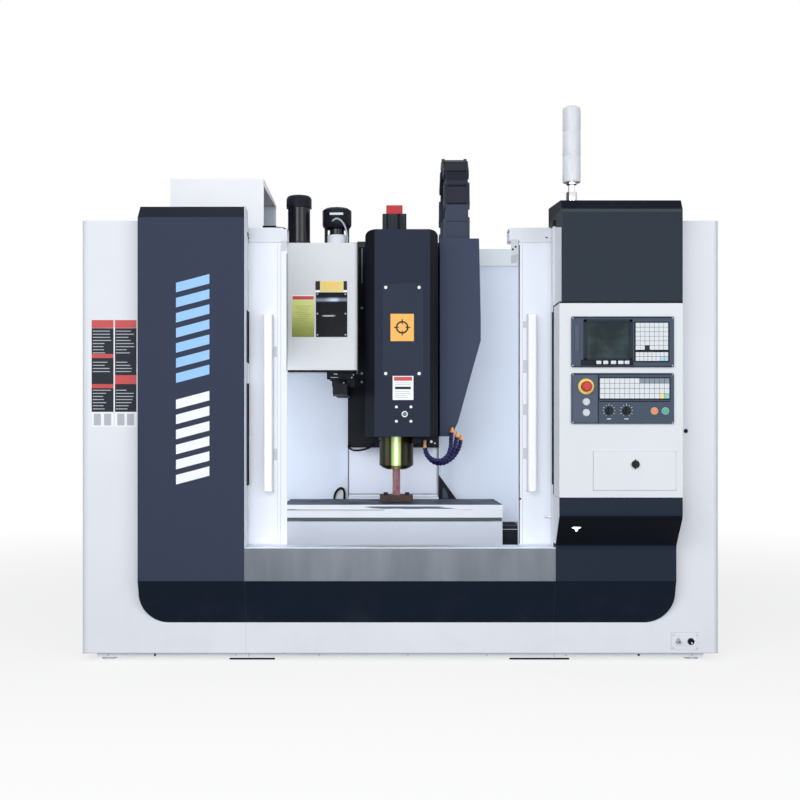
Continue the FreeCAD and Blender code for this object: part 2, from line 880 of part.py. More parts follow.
def sliding_door(side, sign):
    """One door leaf with its window, pane, pull bar and carriage."""
    def across(near, far):
        return (sign * near, sign * far) if sign > 0 else (sign * far, sign * near)

    name = side + "_door"
    far = door.edge + door.wide
    low, high = across(door.edge, far)
    leaf = block(name + "_leaf", (low, door_front, door.low), (high, door_back, door.high))
    near_pane, far_pane = door.edge + door.stile, far - door.far_stile
    left, right = across(near_pane, far_pane)
    window = rectangle((left, door.pane_low), (right, door.pane_high), door.corner)
    hole = prism(name + "_window", "XZ", window, door_front - 1, door_back + 1)
    step_front = door_back - door.rebate_depth
    low_step, high_step = across(near_pane - door.rebate, far_pane + door.rebate)
    step = block(name + "_rebate", (low_step, step_front, door.pane_low - door.rebate),
                 (high_step, door_back + 1, door.pane_high + door.rebate))
    shoe_low, shoe_high = across(far - rail.shoe, far)
    shoe_back = rail_back - rail.sheet - rail.bar - fit.gap
    shoe = block(name + "_carriage", (shoe_low, shoe_back - rail.shoe_thick, door.high),
                 (shoe_high, shoe_back, rail.shoe_high))
    pieces = [cut(name + "_frame", leaf, hole, step), shoe]
    if sign < 0:
        pieces.append(block(name + "_seal", (-door.edge, door_front, door.low),
                            (-door.edge + door.seal, door_front + door.seal_thick, door.high)))
    node(name, fused(name + "_whole", *pieces))
    pane = block(name + "_pane",
                 (low_step + fit.gap, step_front, door.pane_low - door.rebate + fit.gap),
                 (high_step - fit.gap, step_front + door.pane,
                  door.pane_high + door.rebate - fit.gap))
    node(name + "_glass", pane)
    left, right = across(door.grip_near, door.grip_far)
    bar = rectangle((left, door_front - door.grip_depth), (right, door_front),
                    door.grip_round, (0, 1))
    node(name + "_handle", prism(name + "_pull", "XY", bar, door.grip_low, door.grip_high))


def rail_cover(side, low, high):
    """A downward open channel over the top of a door, with the rail inside."""
    channel = [
        (rail_front, rail.low),
        (rail_front, rail.high),
        (rail_back, rail.high),
        (rail_back, rail.low),
        (rail_back - rail.sheet, rail.low),
        (rail_back - rail.sheet, rail.bar_low),
        (rail_back - rail.sheet - rail.bar, rail.bar_low),
        (rail_back - rail.sheet - rail.bar, rail.bar_high),
        (rail_back - rail.sheet, rail.bar_high),
        (rail_back - rail.sheet, rail.high - rail.sheet),
        (rail_front + rail.sheet, rail.high - rail.sheet),
        (rail_front + rail.sheet, rail.low),
    ]
    node(side + "_rail_cover", prism(side + "_channel", "YZ", channel, low, high))


# ---------------------------------------------------------------- shell and base

def outer_walls():
    for side, low, high in (("left", -hall.half, -hall.half + hall.wall),
                            ("right", hall.half - hall.wall, hall.half)):
        wall = block(side + "_sheet", (low, panel_back, hall.low), (high, hall.back, hall.top))
        node(side + "_wall", wall)
    plinth = [-hall.half + base.plinth_in, hall.front + base.plinth_back,
              hall.half - base.plinth_in, hall.back - base.plinth_back]
    wide = base.plinth_wide
    ring = block("plinth_outer", (plinth[0], plinth[1], base.plinth_low),
                 (plinth[2], plinth[3], hall.low))
    inner = block("plinth_inner", (plinth[0] + wide, plinth[1] + wide, base.plinth_low - 1),
                  (plinth[2] - wide, plinth[3] - wide, hall.low + 1))
    feet = []
    for number, (across, back) in enumerate(
            (x, y) for x in (plinth[0], plinth[2] - wide) for y in (plinth[1], plinth[3] - wide)):
        feet.append(rod(f"plinth_foot_{number}", (across + wide / 2, back + wide / 2, 0),
                        base.plinth_foot, base.plinth_low))
    node("plinth_frame", fused("plinth", cut("plinth_ring", ring, inner), *feet))
    inner_edge = hall.half - hall.wall
    cabinet(cabinet_back - rear.pull)
    for side, sign in (("left", -1), ("right", 1)):
        slope = column.wall_gap
        near = column.half + slope
        foot = column.foot_half + slope
        middle = column.middle
        wall = [
            (middle + sign * near, rear.high),
            (sign * inner_edge, rear.high),
            (sign * inner_edge, rear.low),
            (middle + sign * foot, rear.low),
            (middle + sign * foot, column.foot_low - slope),
            (middle + sign * near, column.foot_high - slope),
        ]
        sheet_wall = prism(side + "_rear_sheet", "XZ", wall, column.front,
                           column.front + rear.thick)
        ends = sorted((middle + sign * near, sign * inner_edge), key=lambda size: size.value)
        beam = block(side + "_rear_beam",
                     (ends[0], column.front - rear.beam_out, rear.high - rear.beam),
                     (ends[1], column.front, rear.high))
        node("rear_wall_" + side, fused(side + "_rear", sheet_wall, beam))


def cabinet(leaf_back):
    """The electrical cabinet with its louvred door, which a pull handle opens."""
    leaf_front = leaf_back - rear.leaf
    case = block("cabinet_case", (rear.cabinet, hall.back, base.low),
                 (hall.half, leaf_front, hall.top))
    margin = rear.leaf_margin
    low = (rear.cabinet + margin, base.low + margin)
    high = (hall.half - margin, hall.top - margin)
    leaf = prism("cabinet_leaf", "XZ", rectangle(low, high, rear.leaf_round), leaf_front, leaf_back)
    middle = (rear.cabinet + hall.half) / 2
    field = rear.louvre_pitch * (LOUVRES - 1) + rear.louvre_tall
    slots = []
    for start in (base.low + rear.louvre_up, hall.top - rear.louvre_up - field):
        for step in range(LOUVRES):
            foot = start + rear.louvre_pitch * step
            slots.append(block(f"louvre_{len(slots)}",
                               (middle - rear.louvre / 2, leaf_back - rear.louvre_depth, foot),
                               (middle + rear.louvre / 2, leaf_back + 1,
                                foot + rear.louvre_tall)))
    pull_left = low[0] + rear.pull_in
    pull_low = (base.low + hall.top) / 2 - rear.pull_tall / 2
    pull = block("cabinet_pull", (pull_left, leaf_back, pull_low),
                 (pull_left + rear.pull_wide, leaf_back + rear.pull, pull_low + rear.pull_tall))
    node("electrical_cabinet", fused("cabinet_whole", case, cut("cabinet_door", leaf, *slots), pull))


def machine_base():
    middle = column.middle
    section = [
        (-base.half, base.low),
        (base.half, base.low),
        (base.half, base.rim),
        (middle + base.trough_far, base.trough),
        (middle + base.trough_near, base.trough),
        (middle + base.trough_near, base.deck),
        (middle - base.trough_near, base.deck),
        (middle - base.trough_near, base.trough),
        (middle - base.trough_far, base.trough),
        (-base.half, base.rim),
    ]
    bed = prism("bed", "XZ", section, panel_back, hall.back)
    tail = block("bed_tail", (middle - base.trough_near, hall.back, base.low),
                 (middle + base.trough_near, column_back, base.deck))
    pieces = [bed, tail]
    for number, sign in enumerate((-1, 1)):
        low, high = span(middle, sign, base.way_in, base.way_out)
        pieces.append(block(f"bed_way_{number}", (low, base.way_front, base.deck),
                            (high, base.way_back, deck_top)))
    for number, side in enumerate((-1, 0, 1)):
        rear_end = hall.back if side else column_back
        for row, back in enumerate((panel_back + base.foot_inset, rear_end - base.foot_inset)):
            pieces.append(rod(f"bed_foot_{number}_{row}", (base.foot_across * side, back, 0),
                              base.foot, base.low))
    node("machine_base", fused("bed_whole", *pieces))


def machine_column():
    middle = column.middle
    outer = [
        (middle - column.foot_half, base.deck),
        (middle + column.foot_half, base.deck),
        (middle + column.foot_half, column.foot_low),
        (middle + column.half, column.foot_high),
        (middle + column.half, column.top),
        (middle - column.half, column.top),
        (middle - column.half, column.foot_high),
        (middle - column.foot_half, column.foot_low),
    ]
    body = prism("column_body", "XZ", outer, column.front, column_back)
    channel = block("column_channel",
                    (middle - column.channel, column.front - 1, column.channel_low),
                    (middle + column.channel, column.front + column.channel_depth,
                     column.top - column.channel_top))
    ways = []
    for number, sign in enumerate((-1, 1)):
        low, high = span(middle, sign, column.way_in, column.way_out)
        ways.append(block(f"column_way_{number}",
                          (low, column.front - column.way, column.way_low),
                          (high, column.front, column.top)))
    node("column", fused("column_whole", cut("column_cored", body, channel), *ways))
    feed_motor(middle, drive.motor_depth)


def feed_motor(across, back):
    """A square servo motor on its flange, grooved between its fins, with a smaller cap."""
    def plan(half, radius):
        return rectangle((across - half, back - half), (across + half, back + half), radius)

    flange_top = column.top + drive.plate
    half = drive.motor - drive.plate_in
    flange = prism("motor_flange", "XY", plan(drive.motor, drive.round), column.top, flange_top)
    body = prism("motor_body", "XY", plan(half, drive.round), flange_top, drive.motor_high)
    grooves = []
    low, high = flange_top + drive.fin_margin, drive.motor_high - drive.fin_margin
    for step in range(FINS):
        spread = drive.fin_pitch * (step - (FINS - 1) / 2) - drive.fin / 2
        for sign in (-1, 1):
            near, far = span(back, sign, half - drive.fin, half + 1)
            grooves.append(block(f"groove_{len(grooves)}", (across + spread, near, low),
                                 (across + spread + drive.fin, far, high)))
            near, far = span(across, sign, half - drive.fin, half + 1)
            grooves.append(block(f"groove_{len(grooves)}", (near, back + spread, low),
                                 (far, back + spread + drive.fin, high)))
    cap = prism("motor_cap", "XY", plan(drive.motor_cap, drive.cap_round),
                drive.motor_high, drive.motor_top)
    node("z_motor", fused("motor_whole", flange, cut("motor_finned", body, *grooves), cap))


def way_covers():
    """Three telescoping sheets below the head, the lowest fixed to the column."""
    upper_front = head.slide_back
    upper = block("upper_sheet", (cover.left, upper_front, cover.low),
                  (cover.right, upper_front + cover.sheet, cover.upper))
    node("z_cover_upper", upper)
    middle_front = upper_front + cover.sheet + cover.gap
    middle = block("middle_sheet", (cover.left, middle_front, cover.low),
                   (cover.right, middle_front + cover.sheet, cover.high))
    node("z_cover_middle", middle)
    front = middle_front + cover.sheet + cover.gap
    section = [
        (cover.left, front),
        (cover.right, front),
        (cover.right, column.front),
        (cover.right - cover.sheet, column.front),
        (cover.right - cover.sheet, front + cover.sheet),
        (cover.left + cover.sheet, front + cover.sheet),
        (cover.left + cover.sheet, column.front),
        (cover.left, column.front),
    ]
    fixed = prism("fixed_sheet", "XY", section, cover.low - cover.lip, cover.high)
    lip = block("fixed_lip", (cover.left, front - cover.lip_out, cover.low - cover.lip),
                (cover.right, front, cover.low - 1))
    node("z_cover_fixed", fused("fixed_cover", fixed, lip))


# ---------------------------------------------------------------- table and saddle

def cross_slide():
    back_way = saddle.back - saddle.way_inset
    front_way = saddle.front + saddle.way_inset
    way_top = saddle.deck + saddle.way
    section = [
        (saddle.front, saddle_low),
        (saddle.back, saddle_low),
        (saddle.back, saddle.deck),
        (back_way, saddle.deck),
        (back_way, way_top),
        (back_way - saddle.way_wide, way_top),
        (back_way - saddle.way_wide, saddle.deck),
        (axis.back + saddle.trough_half, saddle.deck),
        (axis.back + saddle.trough_half, saddle.trough),
        (axis.back - saddle.trough_half, saddle.trough),
        (axis.back - saddle.trough_half, saddle.deck),
        (front_way + saddle.way_wide, saddle.deck),
        (front_way + saddle.way_wide, way_top),
        (front_way, way_top),
        (front_way, saddle.deck),
        (saddle.front, saddle.deck),
    ]
    body = prism("saddle_body", "YZ", section, column.middle - saddle.half,
                 column.middle + saddle.half)
    node("saddle", body)
    folded = [
        (-saddle.apron, saddle.apron_low),
        (-saddle.apron, saddle.apron_high),
        (saddle.front, saddle.apron_high),
        (saddle.front, saddle.apron_high - saddle.sheet),
        (-saddle.apron + saddle.sheet, saddle.apron_high - saddle.sheet),
        (-saddle.apron + saddle.sheet, saddle.apron_low),
    ]
    node("saddle_apron", prism("apron", "YZ", folded, table.left, table.left + table.long))


def work_table():
    back = table.front + table.depth
    middle = table.front + table.depth / 2
    section = [(table.front, table_low), (back, table_low), (back, table.top)]
    for step in (1, 0, -1):
        slot = middle + table.pitch * step
        neck = table.top - table.slot_depth
        floor = neck - table.tee_high
        section += [
            (slot + table.slot / 2, table.top),
            (slot + table.slot / 2, neck),
            (slot + table.tee / 2, neck),
            (slot + table.tee / 2, floor),
            (slot - table.tee / 2, floor),
            (slot - table.tee / 2, neck),
            (slot - table.slot / 2, neck),
            (slot - table.slot / 2, table.top),
        ]
    section.append((table.front, table.top))
    node("table", prism("table_body", "YZ", section, table.left, table.left + table.long))
    half = table.prop / 2
    prop_top = table.top + table.prop_high
    foot = block("prop_foot", (axis.across - half, axis.back - table.prop_depth / 2, table.top),
                 (axis.across + half, axis.back + table.prop_depth / 2, prop_top))
    node("prop_block", foot)
    bar = rod("prop_rod", (axis.across, axis.back, prop_top), table.bar,
              nose.low - table.bar_gap - prop_top)
    node("prop_bar", bar)


# ---------------------------------------------------------------- head

def spindle_head():
    slide = block("slide_body", (head.slide_left, head.slide_front, head.slide_low),
                  (head.slide_right, head.slide_back, head.slide_high))
    pads = []
    for number in range(4):
        sign = number % 2 * 2 - 1
        foot = head.shoe_low + head.shoe_gap * (number // 2)
        low, high = span(column.middle, sign, column.way_in, column.way_out)
        pads.append(block(f"slide_pad_{number}", (low, head.slide_back, foot),
                          (high, column.front - column.way - fit.slide,
                           foot + head.shoe_tall)))
    node("head_slide", fused("slide_whole", slide, *pads))
    plan = [
        (head.face_left, head.face),
        (head.face_right, head.face),
        (head.side_right, head.side_front),
        (head.side_right, head.slide_front),
        (head.side_left, head.slide_front),
        (head.side_left, head.side_front),
    ]
    shell = prism("cover_plan", "XY", plan, head.cover_low, head.cover_high)
    front = rectangle((head.side_left, head.cover_low), (head.side_right, head.cover_high),
                      head.crown, (2, 3))
    crown = prism("cover_front", "XZ", front, head.face, head.slide_front)
    release = (head.face_left + head.release, head.face, head.release_up)
    hole = stud_hole("release_hole", release[0], release[2], head.release_cap, head.face,
                     press.hole)
    node("head_cover", cut("cover_drilled", common("cover_whole", shell, crown), hole))
    node("tool_release_button",
         rod("release_cap", (release[0], head.face + press.seat, release[2]),
             head.release_cap, press.seat + press.stand, "-y"))
    bore = nose.spindle + fit.gap
    housing = [
        (bore, nose.shell_low),
        (nose.mouth, nose.shell_low),
        (nose.radius, nose.cone),
        (nose.radius, nose.shoulder),
        (nose.collar, nose.shoulder),
        (nose.collar, head.cover_low),
        (bore, head.cover_low),
    ]
    node("spindle_housing", turned("housing", housing, (axis.across, axis.back, 0)))
    taper_top = nose.low + nose.taper_depth
    bore_top = nose.low + nose.bore_depth
    shaft = [
        (nose.taper, nose.low),
        (nose.spindle, nose.low),
        (nose.spindle, head.cover_low - fit.gap),
        (0, head.cover_low - fit.gap),
        (0, bore_top),
        (nose.taper_end, bore_top),
        (nose.taper_end, taper_top),
    ]
    node("spindle", turned("spindle_shaft", shaft, (axis.across, axis.back, 0)))
    wall = [
        (duct.left, head.cover_low),
        (duct.toe, head.cover_low),
        (duct.ankle, duct.ankle_up),
        (duct.knee, duct.knee_up),
        (duct.wide, duct.waist),
        (duct.wide, duct.widest),
        (duct.right, duct.high),
        (duct.left, duct.high),
    ]
    node("duct_cover", prism("duct", "XZ", wall, duct.front, head.slide_front))


def chain_link(number, joints):
    """One link about its own middle: side plates with round ends, and lids between them.

    Every other link lies inside its neighbours. The joints say which of its ends,
    -1 or 1, meet another link. The space under the lids is full of leads.
    """
    plate, half, pitch = chain.plate.value, chain.thick.value / 2, chain.pitch.value
    inner = plate * (number % 2)
    left = chain.left.value + inner
    right = chain.left.value + chain.wide.value - inner
    waist = half - chain.waist.value
    neck = pitch * CHAIN_WAIST
    profile = []
    for end in (1, -1):
        steps = CHAIN_FLATS if end in joints else 1
        for step in range(steps + 1):
            turn = math.pi * step / steps
            profile.append((end * half * math.cos(turn),
                            end * (pitch / 2 + half * math.sin(turn))))
        profile += [(-end * waist, end * neck), (-end * waist, -end * neck)]
    corners = [Vector(0, back, up) for back, up in profile]
    flat = Part.Face(Part.makePolygon(corners + corners[:1])).extrude(Vector(plate, 0, 0))
    pieces = []
    for low in (left, right - plate):
        side = flat.copy()
        side.translate(Vector(low, 0, 0))
        pieces.append(side)
    lids = waist - chain.lid_in.value
    for deep, reach in ((lids, (pitch - chain.split.value) / 2), (lids - chain.lid.value, pitch / 2)):
        pieces.append(Part.makeBox(right - left - plate, 2 * deep, 2 * reach,
                                   Vector(left + plate / 2, -deep, -reach)))
    return pieces[0].fuse(pieces[1:])


def cable_chain():
    """Links up from the duct, over the top and down behind."""
    radius = chain.pitch.value * CHAIN_OVER / math.pi
    pitch = chain.pitch.value
    foot = duct.high.value
    front = chain.front.value
    stops = [(front, foot + pitch * (step + 0.5), 0.0) for step in range(CHAIN_FRONT)]
    top = foot + CHAIN_FRONT * pitch
    for step in range(CHAIN_OVER):
        turn = math.pi * (step + 0.5) / CHAIN_OVER
        stops.append((front + radius * (1 - math.cos(turn)), top + radius * math.sin(turn), turn))
    stops += [(front + 2 * radius, top - pitch * (step + 0.5), math.pi)
              for step in range(CHAIN_REAR)]
    links = []
    for number, (back, up, turn) in enumerate(stops):
        joints = [end for end, other in ((-1, number - 1), (1, number + 1))
                  if 0 <= other < len(stops)]
        link = chain_link(number, joints)
        link.rotate(Vector(0, 0, 0), Vector(1, 0, 0), -math.degrees(turn))
        link.translate(Vector(0, back, up))
        links.append(link)
    feature = doc.addObject("Part::Feature", "chain_links")
    feature.Shape = links[0].fuse(links[1:]).removeSplitter()
    node("cable_chain", feature)


def coolant_hoses():
    """Three flexible spouts that leave a block under the head and turn back up."""
    front = hose.front.value
    pitch = hose.pitch.value
    left = hose.left.value
    low = hose.low.value
    block_low = head.cover_low.value - hose.block.value
    half = hose.radius.value + hose.margin.value
    body = Part.makeBox(2 * half, 3 * pitch, hose.block.value,
                        Vector(left - half, front - pitch / 2, block_low))
    solids = [body]
    for number in range(3):
        back = front + pitch * number
        tip = (left + hose.reach.value + hose.step.value * number,
               hose.rise.value - hose.drop.value * number)
        solids += spout(left, back, block_low, low + hose.cup.value, tip)
    whole = solids[0].fuse(solids[1:])
    feature = doc.addObject("Part::Feature", "hose_set")
    feature.Shape = whole
    node("coolant_hoses", feature)


def spout(left, back, high, low, tip):
    """A hose down from the block, round a half loop and up to its nozzle."""
    bend = (tip[0] - left) * HOSE_BEND
    run = tip[0] - left - 2 * bend
    start = Vector(left, back, high)
    first = Vector(left, back, low + bend)
    under = Vector(left + bend * (1 - math.sqrt(0.5)), back, low + bend * (1 - math.sqrt(0.5)))
    bottom = Vector(left + bend, back, low)
    lean = math.atan2(tip[1] - low, run + bend)
    sweep = lean / 2
    second = Vector(left + bend + bend * math.sin(sweep), back, low + bend * (1 - math.cos(sweep)))
    third = Vector(left + bend + bend * math.sin(lean), back, low + bend * (1 - math.cos(lean)))
    long = (tip[1] - third.z) / math.sin(lean)
    end = third + Vector(math.cos(lean), 0, math.sin(lean)) * long
    path = Part.Wire([
        Part.LineSegment(start, first).toShape(),
        Part.Arc(first, under, bottom).toShape(),
        Part.Arc(bottom, second, third).toShape(),
        Part.LineSegment(third, end).toShape(),
    ])
    return hose_joints(path)


def hose_joints(path):
    """Cups that sit in one another along a path, and a nozzle at its end."""
    count = round(path.Length / hose.joint.value)
    points = path.discretize(Number=count + 1)
    cups = []
    for start, end in zip(points, points[1:]):
        ahead = (end - start).normalize()
        cups.append(cup(start, end + ahead * hose.lap.value, hose.radius.value, hose.cup.value))
    tip = points[-1] + ahead * hose.nozzle_long.value
    cups.append(cup(points[-1], tip, hose.cup.value, hose.nozzle.value))
    return cups


def cup(start, end, near, far):
    """A joint of a hose, with one radius at its start and another at its end."""
    rings = []
    for spot, radius in ((start, near), (end, far)):
        circle = Part.Circle(spot, end - start, radius).toShape()
        rings.append(Part.makePolygon(circle.discretize(Number=HOSE_FLATS + 1)))
    return Part.makeLoft(rings, True, True)


# ---------------------------------------------------------------- tool changer

def tool_changer():
    case = rectangle((changer.left, changer.front), (changer.right, changer.back),
                     changer.round, (0, 1))
    body = prism("changer_case", "XY", case, changer.low, changer.high)
    arm = block("changer_bracket", (changer.arm_left, changer.back, changer.arm_low),
                (changer.arm_right, column.front, changer.arm_high))
    link = block("changer_link", (changer.link, store_disc.back, changer.arm_low),
                 (changer.arm_left, store_disc.back + changer.link_depth, changer.arm_high))
    node("atc_housing", fused("changer_whole", body, arm, link))
    flange_top = changer.high + drive.flange_tall
    barrel = [
        (0, changer.high),
        (drive.flange, changer.high),
        (drive.flange, flange_top),
        (drive.radius, flange_top),
        (drive.radius, drive.neck),
        (drive.cap, drive.neck),
        *eased(drive.cap, drive.high, drive.dome),
        (0, drive.high),
    ]
    node("atc_drive_motor", turned("drive_motor", barrel, (drive.left, axis.back, 0)))
    foot_top = changer.high + drive.base_tall
    fan = [
        (0, changer.high),
        (drive.base, changer.high),
        (drive.base, foot_top),
        (drive.fan_radius, foot_top),
        (drive.fan_radius, drive.fan_low),
        (drive.fan_cap - drive.cowl_in, drive.fan_low),
        (drive.fan_cap, drive.fan_low + drive.cowl_rim),
        *eased(drive.fan_cap, drive.fan_high, drive.dome),
        (0, drive.fan_high),
    ]
    node("atc_fan_motor", turned("fan_motor", fan, (drive.fan, axis.back, 0)))
    reach = axis.across - changer.pivot
    top = changer.swing_low + changer.swing
    half = changer.swing_half
    bar = block("arm_bar", (changer.pivot - half, axis.back - reach - changer.jaw,
                            changer.swing_low),
                (changer.pivot + half, axis.back + reach + changer.jaw, top))
    hub = rod("arm_hub", (changer.pivot, axis.back, changer.swing_low), changer.hub,
              changer.swing)
    shaft = rod("arm_shaft", (changer.pivot, axis.back, changer.swing_low), changer.shaft,
                changer.low - fit.gap - changer.swing_low)
    notches = []
    mouth = changer.jaw_bore * JAW_MOUTH
    for number, sign in enumerate((-1, 1)):
        jaw = axis.back + sign * reach
        notches.append(rod(f"arm_notch_{number}",
                           (changer.pivot, jaw, changer.swing_low - 1),
                           changer.jaw_bore, changer.swing + 2))
        low, high = span(changer.pivot, sign, 0, half + 1)
        notches.append(block(f"arm_mouth_{number}",
                             (low, jaw - mouth, changer.swing_low - 1),
                             (high, jaw + mouth, top + 1)))
    arm_body = cut("arm_jaws", bar, *notches)
    node("atc_arm", fused("arm_whole", arm_body, hub, shaft))


def magazine():
    box = store_disc
    outer = block("magazine_outer", (box.left, box.front, box.low),
                  (box.right, box.back, box.high))
    inner = block("magazine_inner",
                  (box.left + box.sheet, box.front + box.sheet, box.low + box.sheet),
                  (box.right + 1, box.back - box.sheet, box.high - box.sheet))
    node("magazine_box", cut("magazine_shell", outer, inner))
    middle = (box.disc_left, axis.back, box.disc_up)
    plate = rod("disc_plate", middle, box.radius + box.pot + box.brim, box.disc, "x")
    shaft = rod("disc_shaft", (box.left + box.sheet + fit.gap, axis.back, box.disc_up),
                box.shaft, box.disc_left - box.left - box.sheet - fit.gap, "x")
    pots = []
    for number in range(POTS):
        turn = 2 * math.pi * number / POTS
        pots.append(rod(f"disc_pot_{number}",
                        (box.disc_left + box.disc,
                         axis.back + box.radius * round(math.cos(turn), 6),
                         box.disc_up + box.radius * round(math.sin(turn), 6)),
                        box.pot, box.pot_long, "x"))
    node("magazine_disc", fused("disc_whole", plate, shaft, *pots))


def build():
    front_panels()
    dark_cladding()
    roof = control_column()
    control_units()
    storage()
    signal_lamp(roof)
    sliding_door("left", -1)
    sliding_door("right", 1)
    rail_cover("left", -rail.far, -rail.left_end)
    rail_cover("right", rail.right_end, rail.far)
    outer_walls()
    machine_base()
    machine_column()
    way_covers()
    cross_slide()
    work_table()
    spindle_head()
    cable_chain()
    coolant_hoses()
    tool_changer()
    magazine()


def check():
    """Stop at the first object that failed or came out empty."""
    doc.recompute()
    for item in doc.Objects:
        faults = {"Invalid", "Error"} & set(item.State)
        if faults:
            raise RuntimeError(f"{item.Name}: {', '.join(sorted(faults))}")
    for item in nodes:
        if item.Shape.isNull() or not item.Shape.isValid():
            raise RuntimeError(f"{item.Label}: the shape is not valid")


def write():
    os.makedirs("parts", exist_ok=True)
    for item in nodes:
        item.Shape.exportStep(f"parts/{item.Label}.step")
        box = item.Shape.BoundBox
        print(f"{item.Label}: {len(item.Shape.Solids)} solid(s), "
              f"{box.XLength:.1f} x {box.YLength:.1f} x {box.ZLength:.1f}")


build()
check()
write()
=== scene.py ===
"""A vertical machining centre in a pale studio.

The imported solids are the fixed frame. This script gives every piece its finish
and adds the fine pieces: screws, keys, plates, seals, ribs and hoses. The axes are
the frame's own: X to the right, Y to the back, Z up. Pieces are drawn in
millimetres and turned into metres when their mesh is made.
"""

import math
import random
from itertools import product

import bmesh
import bpy
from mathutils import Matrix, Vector


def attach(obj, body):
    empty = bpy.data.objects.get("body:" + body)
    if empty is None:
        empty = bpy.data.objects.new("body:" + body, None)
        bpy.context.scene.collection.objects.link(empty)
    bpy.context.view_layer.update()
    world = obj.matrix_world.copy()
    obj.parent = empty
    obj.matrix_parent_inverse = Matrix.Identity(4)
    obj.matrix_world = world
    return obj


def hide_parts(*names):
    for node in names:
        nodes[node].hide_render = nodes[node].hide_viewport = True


MM = 0.001
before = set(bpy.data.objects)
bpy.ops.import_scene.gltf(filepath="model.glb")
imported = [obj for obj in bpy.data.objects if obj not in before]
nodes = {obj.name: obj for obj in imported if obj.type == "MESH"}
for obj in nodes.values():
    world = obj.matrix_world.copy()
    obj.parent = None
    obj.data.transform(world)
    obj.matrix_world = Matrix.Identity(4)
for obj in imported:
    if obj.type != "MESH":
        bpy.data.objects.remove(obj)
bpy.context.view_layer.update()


# ---- camera and light

CAMERA_AT = (-0.072, -5.41, 0.896)     # level, a little left of the middle
LENS, FILM = 51.75, 36                  # mm
SHIFT = (0.0225, 0.04)


def stand(name, data):
    """A new object of this name in the scene."""
    thing = bpy.data.objects.new(name, data)
    bpy.context.scene.collection.objects.link(thing)
    return thing


def look():
    """The photograph's view, from the front."""
    data = bpy.data.cameras.new("studio_camera")
    data.lens, data.sensor_width = LENS, FILM
    data.shift_x, data.shift_y = SHIFT
    camera = stand("studio_camera", data)
    camera.location = CAMERA_AT
    camera.rotation_euler = (math.radians(90), 0, 0)
    bpy.context.scene.camera = camera


def soft_light(name, at, towards, wide, tall, power):
    data = bpy.data.lights.new(name, "AREA")
    data.shape = "RECTANGLE"
    data.size, data.size_y, data.energy = wide, tall, power
    lamp = stand(name, data)
    lamp.location = at
    lamp.rotation_euler = (Vector(towards) - Vector(at)).to_track_quat("-Z", "Y").to_euler()
    lamp.visible_camera = False


def studio():
    """Soft lights before and over the machine, and two weak ones in its work space."""
    bpy.context.scene.view_settings.view_transform = "Standard"
    soft_light("key_light", (-2.6, -6.0, 3.2), (0, -0.6, 0.9), 3.6, 2.6, 132)
    soft_light("fill_light", (3.4, -5.6, 2.4), (0.2, -0.6, 0.9), 3.0, 3.0, 78)
    soft_light("front_light", (0, -6.4, 0.9), (0, 0, 0.7), 3.2, 1.8, 104)
    soft_light("top_light", (0, -0.5, 3.5), (0, 0.25, 1.2), 2.2, 1.6, 12)
    soft_light("left_work_lamp", (-0.98, -0.42, 0.85), (-0.36, 0.5, 0.86), 0.5, 0.6, 6.6)
    soft_light("right_work_lamp", (1.00, -0.42, 1.1), (0.38, 0.5, 1.15), 0.5, 1.2, 7)


# ---- shader maths

SPRAY = 0.002       # half the width of a soft edge between two colours
DUST, SCREW = (0.23, 0.21, 0.19), (0.16, 0.17, 0.19)
SCREW_PITCH = 0.3
FINISHES = {}


class Signal:
    """A shader socket that takes part in sums: each operator adds its node."""

    def __init__(self, tree, socket):
        self.tree, self.socket = tree, socket

    def maths(self, operation, other, swapped=False):
        first, second = (other, self) if swapped else (self, other)
        return self.tree.add("Math", {"operation": operation}, {0: first, 1: second})

    def __add__(self, other):
        return self.maths("ADD", other)

    def __sub__(self, other):
        return self.maths("SUBTRACT", other)

    def __rsub__(self, other):
        return self.maths("SUBTRACT", other, True)

    def __mul__(self, other):
        return self.maths("MULTIPLY", other)

    def __pow__(self, other):
        return self.maths("POWER", other)

    def __mod__(self, other):
        return self.maths("FLOORED_MODULO", other)

    __radd__ = __add__
    __rmul__ = __mul__

    def rise(self, start, end):
        """0 below start, 1 above end, smooth between."""
        return self.tree.add("MapRange", {"interpolation_type": "SMOOTHSTEP"},
                             {"Value": self, "From Min": start, "From Max": end})


class Tree:
    """The nodes of a material or of the world."""

    def __init__(self, owner):
        owner.use_nodes = True
        self.nodes, self.links = owner.node_tree.nodes, owner.node_tree.links

    def add(self, kind, settings={}, inputs={}, output=0):
        """A node of a kind, its settings first, then the values or links of its sockets."""
        item = self.nodes.new("ShaderNode" + kind)
        for word, value in settings.items():
            if word == "stops":
                self.set_stops(item.color_ramp, value)
            else:
                setattr(item, word, value)
        for key, value in inputs.items():
            if isinstance(value, Signal):
                self.links.new(value.socket, item.inputs[key])
            else:
                item.inputs[key].default_value = value
        return Signal(self, item.outputs[output])

    def set_stops(self, ramp, stops):
        while len(ramp.elements) < len(stops):
            ramp.elements.new(1)
        for element, (place, colour) in zip(ramp.elements, stops):
            element.position = place
            element.color = (*colour, 1)

    def show(self, kind, first, second, share):
        """The tree's output goes from the first shader to the second by the share."""
        mixed = self.add("MixShader", {}, {0: share, 1: first, 2: second})
        self.links.new(mixed.socket, self.nodes.new("ShaderNodeOutput" + kind).inputs[0])


